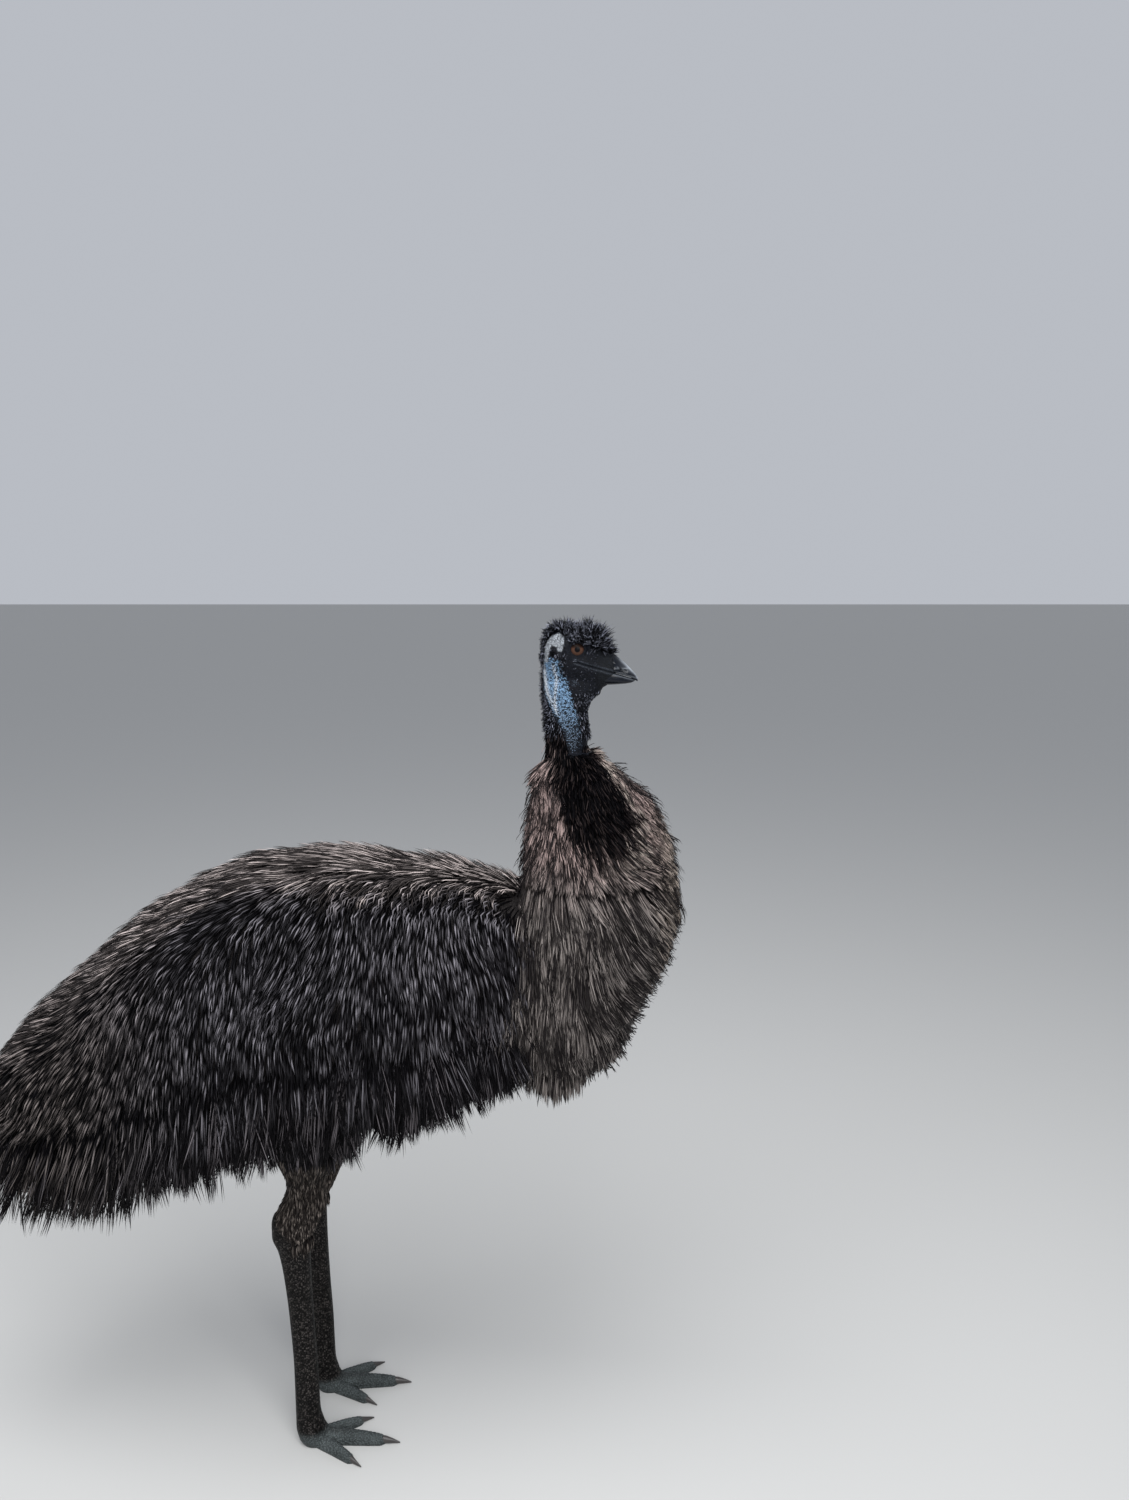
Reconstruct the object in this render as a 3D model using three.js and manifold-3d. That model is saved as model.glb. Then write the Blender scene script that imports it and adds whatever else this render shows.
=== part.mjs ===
// A standing emu at life size, in millimetres. +X is the way it faces, +Y its left and +Z up.
// The working origin is on the ground between the two shanks, and the last lines move it under the whole bird.
import * as THREE from "three";
import { mergeVertices } from "three/addons/utils/BufferGeometryUtils.js";
import Module from "manifold-3d";

const wasm = await Module();
wasm.setup();

const GAP = 0.3; // what two touching pieces keep between them
const CLEAR = 0.5; // and what locks are cut clear by
const SMOOTHING = 0.1; // slivers of the head finer than this are merged away

// Where the body is parted.
const TAIL_X = -300; // the tail coat hangs behind this plane
const CHEST_X = 372; // the breast and neck lie in front of this one
const NECK_Z = 1085; // the shaggy neck stands on the breast here
// The head sits on the bare neck here.
const NAPE = { x: 418, z: 1462, normal: new THREE.Vector3(0.38, 0, 0.925) };

// The line of the coat from behind to in front: x, the hem below and the back above.
const COAT_LINE = [
  [-690, 500, 570],
  [-662, 455, 655],
  [-590, 440, 750],
  [-480, 445, 862],
  [-360, 460, 970],
  [-220, 515, 1078],
  [-80, 580, 1137],
  [60, 600, 1148],
  [190, 610, 1134],
  [300, 640, 1114],
  [390, 665, 1094],
  [480, 720, 1000],
  [540, 800, 900],
];

// The body under that coat, as far out as its feathers lie close: x, underside, back line and half width.
const TRUNK = [
  [-632, 600, 640, 6],
  [-575, 592, 732, 66],
  [-500, 596, 824, 96],
  [-400, 604, 917, 124],
  [-300, 608, 1004, 152],
  [-190, 614, 1070, 174],
  [-70, 628, 1117, 184],
  [60, 640, 1126, 184],
  [190, 652, 1112, 170],
  [300, 680, 1093, 148],
  [390, 715, 1062, 118],
  [480, 770, 960, 74],
  [530, 830, 880, 8],
];

// The coat of the breast and the lower neck going up: z, back, front and half width.
const CHEST = [
  [660, 420, 470, 30],
  [703, 375, 518, 95],
  [760, 350, 570, 135],
  [850, 340, 622, 155],
  [950, 345, 665, 160],
  [1050, 360, 679, 152],
  [1130, 372, 668, 135],
  [1200, 376, 645, 115],
  [1260, 384, 600, 92],
  [1300, 405, 555, 66],
  [1335, 424, 505, 40],
];

// The bare upper neck going up: z, back, front and half width.
const NECK = [
  [1270, 452, 482, 20],
  [1290, 436, 500, 31],
  [1340, 428, 503, 30],
  [1380, 425, 502, 29],
  [1400, 422, 508, 28.5],
  [1424, 419, 520, 28],
  [1450, 418, 528, 26],
  [1480, 425, 524, 22],
  [1495, 440, 500, 12],
];

// The skull and cheeks from the back of the head to the face: x, underside, crown and half width.
const SKULL = [
  [414, 1462, 1478, 6],
  [421, 1442, 1497, 18],
  [440, 1432, 1514, 27],
  [465, 1427, 1521, 31],
  [490, 1425, 1520, 31.5],
  [515, 1426, 1508, 28],
  [535, 1430, 1495, 22],
  [546, 1440, 1488, 15],
  [551, 1455, 1474, 4],
];

// The bill. Both halves meet on the mouth line, which falls towards the tip.
const MOUTH = { x: 478, z: 1472, fall: 0.3, length: 82, open: 1.2 };
const mouthZ = (x) => MOUTH.z - (x - MOUTH.x) * MOUTH.fall;
const BILL_ROOT_X = 506;
const BILL_TIP_X = 588.5;
const CULMEN = [
  [BILL_ROOT_X, 1486, 15],
  [530, 1489, 19],
  [544, 1485.5, 17],
  [560, 1474, 12.5],
  [575, 1461, 8],
  [584, 1450, 4.6],
  [BILL_TIP_X, 1441.5, 1],
];
const GONYS = [
  [BILL_ROOT_X, 1436, 15],
  [520, 1429, 18],
  [545, 1430, 15],
  [565, 1431.5, 9.5],
  [579, 1433.5, 5],
  [585.5, 1437.5, 1],
];
const NOSTRIL = { x: 556, z: 1459, y: 13.5, long: 11, high: 2.6, deep: 4 };

// The eye, its lids and the ear behind it.
const EYE = { x: 482, y: 22, z: 1491, radius: 13.2 };
const LID = { radius: 11.4, thick: 1.9, y: 29.2 };
const EAR = { x: 438, y: 26, z: 1484, long: 5, high: 8 };

// The legs. FEET_Y is half the distance between the two shanks.
const FEET_Y = 70;
const THIGH = [
  [730, -40, 60, -104, 30],
  [700, -62, 82, -104, 54],
  [640, -72, 92, -102, 62],
  [580, -72, 74, -94, 56],
  [530, -66, 46, -84, 46],
  [485, -68, 24, -77, 38],
  [450, -74, 6, -71, 31],
  [424, -60, -18, -70, 14],
];
const SHANK = [
  [455, -56, -26, -70, 12],
  [444, -75, -8, -70, 27],
  [425, -76, -6, -70, 28],
  [395, -66, -8, -70, 24],
  [347, -58, -8, -70, 21],
  [250, -50, -6, -70, 18.5],
  [150, -46, -2, -70, 18],
  [70, -46, -1, -70, 20],
  [36, -46, 6, -70, 24],
  [14, -42, 16, -70, 25],
  [-14, -30, 6, -70, 16],
];
const TOES = [
  { name: "middle", length: 142, turn: -3, root: 15, tip: 9.5, claw: 30 },
  { name: "inner", length: 100, turn: 27, root: 12, tip: 8, claw: 25 },
  { name: "outer", length: 104, turn: -33, root: 12.5, tip: 8, claw: 24 },
];
const TOE_ROOT_X = -16;
const TOE_START = 34; // a toe comes clear of the shank this far out from its root

// A small wing lies hidden in the coat behind each side of the breast.
const WING = [
  [985, 322, 340, -130, 6],
  [955, 296, 356, -140, 11],
  [900, 280, 354, -150, 13],
  [840, 276, 334, -154, 12],
  [795, 284, 312, -153, 8],
  [780, 292, 302, -152, 4],
];

// The locks of each coat: length, half width, height of the ridge, how far the tip stands off and the root is
// sunk, how far apart they grow, and the slope of the surface below which they hang straight.
const CHEST_COAT = 24; // the shaggy neck and breast are this deep
const COAT = { length: 190, width: 46, ridge: 9, depth: 25, sink: 9, apart: 101, hangs: -0.35 };
const TRUNK_TURNS = [83, 60, 37, 13];
// The lowest tiers hang to the hem, the inner one only behind the start.
const SKIRT = { width: 53, turns: [-11, -44], start: -120 };
const BREAST = { length: 150, width: 40, ridge: 8, depth: 21, sink: 7, apart: 77, hangs: -0.92 };
const HACKLE = { length: 125, width: 37, ridge: 7, depth: 23, sink: 7, apart: 55, hangs: -0.6 };
const NECK_TIERS = [
  { z: 1306, count: 7 },
  { z: 1250, count: 8 },
  { z: 1185, count: 9 },
  { z: 1110, count: 10 },
  { z: 1030, count: 10 },
  { z: 940, count: 10 },
  { z: 850, count: 10 },
  { z: 765, count: 9 },
];
const THIGH_COAT = { length: 82, width: 27, ridge: 6, depth: 12, sink: 6, hangs: -0.6, hem: 452 };
const THIGH_TIERS = [
  { z: 600, count: 5 },
  { z: 532, count: 5 },
];
const WING_COAT = { length: 125, width: 24, ridge: 6, depth: 15, sink: 5, hangs: -0.6 };
const WING_TIERS = [
  { z: 945, count: 3 },
  { z: 870, count: 2 },
];
const LOCK_STATIONS = [0, 0.42, 0.8, 1]; // where a lock bends, as shares of its length
// The crest's locks stand up and fan out from the crown.
const CREST = { height: 33, width: 9, ridge: 9, sink: 5, bend: 10, from: 421, to: 540, columns: 9 };
const CREST_TURNS = [
  [46, 78, 104, 136],
  [36, 64, 90, 116, 144],
];

const finish = (color, roughness) => new THREE.MeshStandardMaterial({ color, roughness, metalness: 0 });
const MATERIALS = {
  plumage: finish(0x2b2522, 0.85),
  breast: finish(0x5c5048, 0.85),
  hackle: finish(0x14110f, 0.8),
  skin: finish(0x4a6f92, 0.6),
  horn: finish(0x1d1d21, 0.4),
  scales: finish(0x2a2422, 0.65),
  toes: finish(0x6a7478, 0.6),
  claw: finish(0x1a1817, 0.35),
  eye: finish(0x7a3a12, 0.08),
};

// A closed three.js geometry as a solid with its faces pointing out.
function solidOf(geometry) {
  const bare = geometry.clone();
  for (const name of Object.keys(bare.attributes)) {
    if (name !== "position") bare.deleteAttribute(name);
  }
  const merged = mergeVertices(bare, 1e-3);
  const at = merged.attributes.position;
  const triangles = [];
  let volume = 0;
  const [a, b, c] = [new THREE.Vector3(), new THREE.Vector3(), new THREE.Vector3()];
  for (let i = 0; i < merged.index.count; i += 3) {
    const [p, q, r] = [0, 1, 2].map((k) => merged.index.getX(i + k));
    if (p === q || q === r || r === p) continue;
    triangles.push([p, q, r]);
    a.fromBufferAttribute(at, p);
    b.fromBufferAttribute(at, q);
    c.fromBufferAttribute(at, r);
    volume += a.dot(b.cross(c));
  }
  const outward = volume < 0 ? triangles.map(([p, q, r]) => [p, r, q]) : triangles;
  return new wasm.Manifold(
    new wasm.Mesh({ numProp: 3, vertProperties: at.array, triVerts: new Uint32Array(outward.flat()) }),
  );
}

// A solid as a three.js geometry.
function geometryOf(solid) {
  const { vertProperties, triVerts } = largest(solid).getMesh();
  const geometry = new THREE.BufferGeometry();
  geometry.setAttribute("position", new THREE.BufferAttribute(new Float32Array(vertProperties), 3));
  geometry.setIndex(new THREE.BufferAttribute(new Uint32Array(triVerts), 1));
  return geometry;
}

// A row of a station table at place s, on a smooth curve that never overshoots the rows on either side.
function stationAt(rows, s) {
  let i = 0;
  while (i < rows.length - 2 && (s - rows[i + 1][0]) * Math.sign(rows[1][0] - rows[0][0]) > 0) i += 1;
  const slope = (j, k) => (rows[j + 1][k] - rows[j][k]) / (rows[j + 1][0] - rows[j][0]);
  const tangent = (j, k) => {
    if (j === 0) return slope(0, k);
    if (j === rows.length - 1) return slope(j - 1, k);
    const [before, after] = [slope(j - 1, k), slope(j, k)];
    return before * after <= 0 ? 0 : (2 * before * after) / (before + after);
  };
  const span = rows[i + 1][0] - rows[i][0];
  const t = THREE.MathUtils.clamp((s - rows[i][0]) / span, 0, 1);
  const [t2, t3] = [t * t, t * t * t];
  return rows[i].map((value, k) =>
    k === 0
      ? s
      : (2 * t3 - 3 * t2 + 1) * value +
        (t3 - 2 * t2 + t) * span * tangent(i, k) +
        (3 * t2 - 2 * t3) * rows[i + 1][k] +
        (t3 - t2) * span * tangent(i + 1, k),
  );
}

const signedPower = (value, power) => Math.sign(value) * Math.abs(value) ** power;

// A point on a lofted form's section at station s. The turn is 0 at the bird's left, a quarter at the top or front.
function sectionPoint(form, s, turn, open = 1) {
  const { rows, along, square = [2, 2], grow = 0 } = form;
  const row = stationAt(rows, s);
  const [low, high, middleY, half] = row.length === 5 ? row.slice(1) : [row[1], row[2], 0, row[3]];
  const [c, d] = [Math.cos(turn), Math.sin(turn)];
  const power = 2 / (d > 0 ? square[0] : square[1]);
  const across = middleY + open * Math.max(half + grow, 0.5) * signedPower(c, power);
  const up = (low + high) / 2 + open * Math.max((high - low) / 2 + grow, 0.5) * signedPower(d, power);
  return along === "x" ? new THREE.Vector3(s, across, up) : new THREE.Vector3(up, across, s);
}

// A sphere drawn out along a table of stations, closed to a point at both ends.
function loft(form) {
  const { rows, segments = 20, rings = 20, grow = 0, bunch = 1 } = form;
  const [first, last] = [rows[0][0], rows[rows.length - 1][0]];
  const reach = grow * Math.sign(last - first);
  const geometry = new THREE.SphereGeometry(1, segments, rings);
  const at = geometry.attributes.position;
  for (let i = 0; i < at.count; i += 1) {
    const column = (i % (segments + 1)) % segments;
    const t = Math.floor(i / (segments + 1)) / rings;
    const eased = THREE.MathUtils.lerp(t, 0.5 - 0.5 * Math.cos(Math.PI * t), bunch);
    const s = THREE.MathUtils.lerp(first - reach, last + reach, eased);
    const point = sectionPoint(form, s, (column / segments) * 2 * Math.PI, t === 0 || t === 1 ? 0 : 1);
    at.setXYZ(i, point.x, point.y, point.z);
  }
  return solidOf(geometry);
}

// The same stations on the bird's left side.
const onLeft = (rows) => rows.map(([s, low, high, middleY, half]) => [s, low, high, -middleY, half]);

const sphere = (radius, x, y, z, stretch = [1, 1, 1], tilt = 0, segments = 12) =>
  solidOf(
    new THREE.SphereGeometry(radius, segments, Math.ceil(segments * 0.7))
      .scale(...stretch)
      .rotateY(tilt)
      .translate(x, y, z),
  );

// What lies on the side of a plane that its normal points to, half a gap clear of it.
const beyond = (solid, normal, offset) => solid.trimByPlane(normal.toArray(), offset + GAP / 2);
const before = (solid, normal, offset) =>
  solid.trimByPlane(normal.clone().negate().toArray(), -offset + GAP / 2);

const largest = (solid) =>
  solid.decompose().reduce((best, piece) => (piece.volume() > best.volume() ? piece : best));

const join = (...pieces) => wasm.Manifold.union(pieces);

const DOWN = new THREE.Vector3(0, 0, -1);

// Random draws, the same on every run.
let seed = 26;
function draw(low = 0, high = 1) {
  seed = (seed * 1664525 + 1013904223) % 4294967296;
  return low + ((high - low) * seed) / 4294967296;
}

// The smooth surface of a solid, which locks are laid along.
function surfaceOf(solid) {
  const geometry = geometryOf(solid);
  geometry.computeVertexNormals();
  const faces = [];
  for (let i = 0; i < geometry.index.count; i += 3) {
    const corners = [0, 1, 2].map((k) => geometry.index.getX(i + k));
    const [points, normals] = [geometry.attributes.position, geometry.attributes.normal].map((attribute) =>
      corners.map((corner) => new THREE.Vector3().fromBufferAttribute(attribute, corner)),
    );
    faces.push({ triangle: new THREE.Triangle(...points), normals });
  }
  return faces;
}

// The place on a surface that is nearest to a point, with the surface's smooth normal there.
function nearest(surface, point) {
  const found = { distance: Infinity, place: new THREE.Vector3(), face: surface[0] };
  const place = new THREE.Vector3();
  for (const face of surface) {
    face.triangle.closestPointToPoint(point, place);
    const distance = place.distanceToSquared(point);
    if (distance < found.distance) {
      found.distance = distance;
      found.place.copy(place);
      found.face = face;
    }
  }
  const weights = found.face.triangle.getBarycoord(found.place, new THREE.Vector3());
  const normal = new THREE.Vector3();
  found.face.normals.forEach((each, k) => normal.addScaledVector(each, weights.getComponent(k)));
  normal.normalize();
  return { place: found.place, normal, outside: point.clone().sub(found.place).dot(normal) };
}

// A lock's course: it leaves the surface as it follows the lie, and hangs once the surface turns under.
function course(surface, root, lie, { length, depth, sink, hangs, hem = -Infinity }) {
  const stations = [];
  const swerve = draw(-0.14, 0.14);
  let { place, normal } = nearest(surface, root);
  let hanging = false;
  for (const [i, along] of LOCK_STATIONS.entries()) {
    const lift = THREE.MathUtils.lerp(-sink, depth, along ** 0.75);
    const centre = place.clone().addScaledVector(normal, lift);
    centre.z = Math.max(centre.z, hem);
    stations.push({ along, centre, normal: normal.clone() });
    const step = length * ((LOCK_STATIONS[i + 1] ?? 1) - along);
    const heading = hanging
      ? DOWN.clone().addScaledVector(normal, -0.08)
      : lie(place).projectOnPlane(normal).applyAxisAngle(normal, swerve);
    const ahead = place.clone().addScaledVector(heading.normalize(), step);
    const next = nearest(surface, ahead);
    hanging ||= next.normal.z < hangs;
    place = hanging ? ahead : next.place;
    normal = hanging ? normal : next.normal;
  }
  return stations;
}

// A flat lock with a low ridge, narrow at its root, widest before its middle and pointed at its tip.
function lock({ stations, width, ridge }, grow = 0) {
  const steps = stations.length - 1;
  const geometry = new THREE.ConeGeometry(1, 1, 3, steps);
  const at = geometry.attributes.position;
  for (let i = 0; i < at.count; i += 1) {
    const k = Math.round((at.getY(i) + 0.5) * steps);
    const { along, centre, normal } = stations[k];
    const [last, next] = [stations[Math.max(k - 1, 0)].centre, stations[Math.min(k + 1, steps)].centre];
    const tangent = next.clone().sub(last).normalize();
    const side = tangent.clone().cross(normal).normalize();
    const up = side.clone().cross(tangent);
    const open = k < steps ? 1 / (1 - k / steps) : 0;
    const half = width * (0.6 + 0.4 * Math.sin(along * Math.PI)) * (1 - 0.35 * along ** 3);
    const high = ridge * (1 - 0.6 * along);
    const slope = Math.hypot(1 / Math.max(half, 1), 1 / high);
    const spread = grow * (half * slope + half / high);
    const across = ((at.getX(i) * open) / 0.866) * (half + spread);
    const raised = ((at.getZ(i) * open + 0.5) / 1.5) * (high + grow * (1 + high * slope)) - grow;
    const reach = k === 0 ? -grow : k === steps ? 3 * grow : 0;
    const point = centre.clone().addScaledVector(side, across);
    point.addScaledVector(up, open ? raised : high / 2).addScaledVector(tangent, reach);
    at.setXYZ(i, point.x, point.y, point.z);
  }
  return solidOf(geometry);
}

// The limbs and bare parts that the coat is fitted round.
const thigh = (side, grow = 0) =>
  loft({ rows: side < 0 ? THIGH : onLeft(THIGH), along: "z", segments: 10, rings: 9, grow });
const wing = (side, grow = 0) =>
  loft({ rows: side < 0 ? WING : onLeft(WING), along: "z", segments: 10, rings: 7, grow });
const shank = (side, grow = 0) =>
  loft({ rows: side < 0 ? SHANK : onLeft(SHANK), along: "z", segments: 10, rings: 11, grow, bunch: 0.5 });
const neck = (grow = 0) => loft({ rows: NECK, along: "z", segments: 16, rings: 12, grow });

const TRUNK_FORM = { rows: TRUNK, along: "x", square: [1.9, 2.3] };
const CHEST_FORM = { rows: CHEST, along: "z", square: [2.1, 2.1], grow: -CHEST_COAT };

// Which way the feathers point, over the back and flanks and down the neck and breast.
function lieOfBody(place) {
  const { x, y, z } = place;
  const backLine = stationAt(COAT_LINE, x)[2];
  const fall = THREE.MathUtils.smoothstep(backLine - z, 0, 330);
  const rump = THREE.MathUtils.smoothstep(-x, 180, 420);
  const trunk = new THREE.Vector3(
    -THREE.MathUtils.lerp(1, THREE.MathUtils.lerp(0.2, 0.5, rump), fall),
    Math.sign(y) * 0.4 * (1 - fall),
    -THREE.MathUtils.lerp(THREE.MathUtils.lerp(0.2, 0.8, rump), 1, fall),
  );
  const neckDown = new THREE.Vector3(0, 0, -1);
  return trunk.lerp(neckDown, Math.max(THREE.MathUtils.smoothstep(x, 345, 385), z > backLine + 12 ? 1 : 0));
}

const hemAt = (x) => stationAt(COAT_LINE, x)[1];

// The locks of the whole coat, each with the node that it grows from.
function bodyLocks(surface) {
  const locks = [];
  const plant = (node, root, size) => {
    const { place, outside } = nearest(surface, root);
    const crowded = locks.some((each) => each.root.distanceTo(place) < size.apart * 0.82);
    if (outside < -8 || crowded) return;
    const hem = hemAt(place.x) + draw(-6, 22);
    const vary = draw(0.88, 1.12);
    const stations = course(surface, root, lieOfBody, { ...size, hem, length: size.length * vary });
    locks.push({ node, root: place, stations, width: size.width * draw(0.9, 1.12), ridge: size.ridge });
  };
  for (const side of [-1, 1]) {
    for (const [row, degrees] of [...TRUNK_TURNS, ...SKIRT.turns].entries()) {
      const turn = THREE.MathUtils.degToRad(side < 0 ? 180 - degrees : degrees);
      const inSkirt = row >= TRUNK_TURNS.length;
      const start = degrees === Math.min(...SKIRT.turns) ? SKIRT.start : 352;
      for (let x = start - (row % 2) * 0.5 * COAT.apart; x > -615; x -= COAT.apart) {
        const at = x + draw(-8, 8);
        const root = sectionPoint(TRUNK_FORM, at, turn);
        const toHem = { width: SKIRT.width, length: Math.max(COAT.length, root.z - hemAt(at)) };
        plant(at > TAIL_X ? "torso" : "tail_coat", root, { ...COAT, ...(inSkirt ? toHem : {}) });
      }
    }
  }
  for (const [row, { z, count }] of NECK_TIERS.entries()) {
    for (let i = 0; i < count; i += 1) {
      const turn = ((i + 0.5 * (row % 2) + draw(-0.12, 0.12)) / count) * 2 * Math.PI;
      const around = sectionPoint(CHEST_FORM, z + draw(-8, 8), turn);
      const size = z > NECK_Z ? HACKLE : BREAST;
      const narrowed = size.width * Math.min(1, 0.55 + (1320 - z) / 300);
      plant(z > NECK_Z ? "neck_hackle" : "breast", around, { ...size, width: narrowed });
    }
  }
  return locks;
}

// Short locks round a limb, in tiers that hang down it.
function limbLocks(node, form, tiers, size) {
  const surface = surfaceOf(loft({ ...form, segments: 24, rings: 24 }));
  return tiers.flatMap(({ z, count }, row) =>
    Array.from({ length: count }, (_, i) => {
      const turn = ((i + 0.5 * (row % 2) + draw(-0.1, 0.1)) / count) * 2 * Math.PI;
      const stations = course(surface, sectionPoint(form, z, turn), () => DOWN.clone(), size);
      return { node, stations, width: size.width * draw(0.9, 1.1), ridge: size.ridge };
    }),
  );
}

// The coat with its locks, each node cut clear of those whose locks hang over it.
function coat() {
  const trunk = (grow) => loft({ ...TRUNK_FORM, segments: 18, rings: 14, grow });
  const chest = (grow) => loft({ ...CHEST_FORM, segments: 16, rings: 12, grow: grow - CHEST_COAT });
  const front = (grow) => join(chest(grow), trunk(grow).trimByPlane([1, 0, 0], CHEST_X - grow));
  const smooth = [TRUNK_FORM, CHEST_FORM].map((form) => loft({ ...form, segments: 40, rings: 36 }));
  const locks = bodyLocks(surfaceOf(join(...smooth)));
  const cores = {
    neck_hackle: (grow) => front(grow).trimByPlane([0, 0, 1], NECK_Z - grow),
    breast: (grow) => front(grow).trimByPlane([0, 0, -1], -NECK_Z - grow),
    torso: (grow) => trunk(grow).trimByPlane([1, 0, 0], TAIL_X - grow).trimByPlane([-1, 0, 0], -CHEST_X),
    tail_coat: (grow) => trunk(grow).trimByPlane([-1, 0, 0], -TAIL_X - grow),
  };
  for (const [hand, side] of [["right", -1], ["left", 1]]) {
    const thighForm = { rows: side < 0 ? THIGH : onLeft(THIGH), along: "z" };
    const wingForm = { rows: side < 0 ? WING : onLeft(WING), along: "z" };
    cores[`wing_${hand}`] = (grow) => wing(side, grow);
    cores[`thigh_${hand}`] = (grow) => thigh(side, grow);
    locks.push(...limbLocks(`thigh_${hand}`, thighForm, THIGH_TIERS, THIGH_COAT));
    locks.push(...limbLocks(`wing_${hand}`, wingForm, WING_TIERS, WING_COAT));
  }
  const whole = (node, grow) =>
    join(cores[node](grow), ...locks.filter((each) => each.node === node).map((each) => lock(each, grow)));
  const onTop = ["neck_hackle", "breast", "wing_right", "wing_left"];
  const order = [...onTop, "torso", "tail_coat", "thigh_right", "thigh_left"];
  const nodes = {};
  order.forEach((node, i) => {
    const above = order.slice(0, i);
    const cut = above.reduce((solid, other) => solid.subtract(whole(other, CLEAR)), whole(node, 0));
    const meeting = above.map((other) => nodes[other]).filter((other) => cut.intersect(other).volume() > 0.001);
    nodes[node] = meeting.reduce((solid, other) => solid.subtract(other), cut);
  });
  nodes.neck_hackle = nodes.neck_hackle.subtract(neck(CLEAR));
  return nodes;
}

// One half of the bill: a wedge between its outer edge and the mouth line.
function billHalf(edge, isUpper, grow = 0) {
  const rows = edge.map(([x, z, half]) =>
    isUpper ? [x, mouthZ(x) + GAP / 2, z, half] : [x, z, mouthZ(x) - GAP / 2, half],
  );
  const square = isUpper ? [1.5, 5] : [5, 2];
  return loft({ rows, along: "x", segments: 10, rings: 10, square, grow, bunch: 0.6 });
}

function nostrils() {
  const { x, y, z, long, high, deep } = NOSTRIL;
  return [-1, 1].map((side) => sphere(1, x, side * y, z, [long, deep, high], MOUTH.fall, 7));
}

// The lids ring the eye, and the ear is a shallow cup with a raised rim.
function lids(side) {
  const ring = new THREE.TorusGeometry(LID.radius, LID.thick, 4, 13).rotateX(Math.PI / 2);
  return solidOf(ring.scale(1.08, 1.5, 0.94).translate(EYE.x, side * LID.y, EYE.z));
}
function earRim(side) {
  const ring = new THREE.TorusGeometry(1, 0.28, 4, 9).rotateX(Math.PI / 2);
  return solidOf(ring.scale(EAR.long, 6, EAR.high).translate(EAR.x, side * EAR.y, EAR.z));
}

const SKULL_FORM = { rows: SKULL, along: "x", square: [2.2, 2.2] };

// The crest is a bush of short tufts over the crown, from the bill back to the nape.
function crest() {
  const { height, width, ridge, sink, bend, from, to, columns } = CREST;
  const tufts = [];
  for (let column = 0; column < columns; column += 1) {
    for (const degrees of CREST_TURNS[column % 2]) {
      const turn = THREE.MathUtils.degToRad(degrees + draw(-7, 7));
      const x = THREE.MathUtils.lerp(from, to, column / (columns - 1)) + draw(-3, 3);
      const root = sectionPoint(SKULL_FORM, x, turn);
      const out = new THREE.Vector3((x - 480) / 75, Math.cos(turn), Math.sin(turn) + 0.25).normalize();
      const normal = new THREE.Vector3(0, 1, 0).applyAxisAngle(out, draw(-1.2, 1.2));
      const tall = height * draw(0.8, 1.12) * (0.62 + 0.38 * Math.sin(turn));
      const stations = [0, 0.55, 1].map((along) => {
        const centre = root.clone().addScaledVector(out, THREE.MathUtils.lerp(-sink, tall, along));
        centre.x -= bend * along * along;
        return { along, centre, normal };
      });
      tufts.push(lock({ stations, width: width * draw(0.85, 1.15), ridge }));
    }
  }
  return tufts;
}

function headAndNeck() {
  const skull = loft({ ...SKULL_FORM, segments: 18, rings: 13 });
  const eyes = [-1, 1].map((side) => sphere(EYE.radius + GAP, EYE.x, side * EYE.y, EYE.z));
  const cups = [-1, 1].map((side) => sphere(1, EAR.x, side * (EAR.y + 1), EAR.z, [3.4, 5, 6], 0, 7));
  const slit = solidOf(
    new THREE.BoxGeometry(MOUTH.length, 90, MOUTH.open)
      .translate(MOUTH.length / 2, 0, 0)
      .rotateY(Math.atan(MOUTH.fall))
      .translate(MOUTH.x, 0, MOUTH.z),
  );
  const whole = join(skull, ...crest(), neck(), lids(-1), lids(1), earRim(-1), earRim(1));
  const cut = [...eyes, ...cups, slit, billHalf(CULMEN, true, GAP), billHalf(GONYS, false, GAP)].reduce(
    (solid, tool) => solid.subtract(tool),
    whole,
  );
  const offset = NAPE.normal.dot(new THREE.Vector3(NAPE.x, 0, NAPE.z));
  const tidy = cut.simplify(SMOOTHING);
  return { head: beyond(tidy, NAPE.normal, offset), neck_bare: before(tidy, NAPE.normal, offset) };
}

// A toe lies flat on the ground with a claw seated in its end.
function toeForm(toe, grow = 0) {
  const { length, root, tip } = toe;
  const rows = [
    [0, 4, root * 0.9, 0, 4],
    [TOE_START * 0.5, -6, root * 2 - 4, 0, root],
    [length * 0.55, -6, (root + tip) * 0.95, 0, (root + tip) / 2],
    [length * 0.9, -5, tip * 1.75, 0, tip],
    [length, 2, tip, 0, 2],
  ];
  return loft({ rows, along: "x", segments: 8, rings: 9, grow, bunch: 0.5 });
}
function clawForm(toe, grow = 0) {
  const start = toe.length - 14;
  const rows = [
    [start, 5, 11, 0, 2],
    [start + 6, 1.5, toe.tip * 1.55, 0, toe.tip * 0.62],
    [start + toe.claw * 0.7, 1, toe.tip * 1.15, 0, toe.tip * 0.4],
    [start + toe.claw + 8, 1.2, 3.4, 0, 0.8],
  ];
  return loft({ rows, along: "x", segments: 6, rings: 6, grow, bunch: 0.5 });
}
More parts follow.
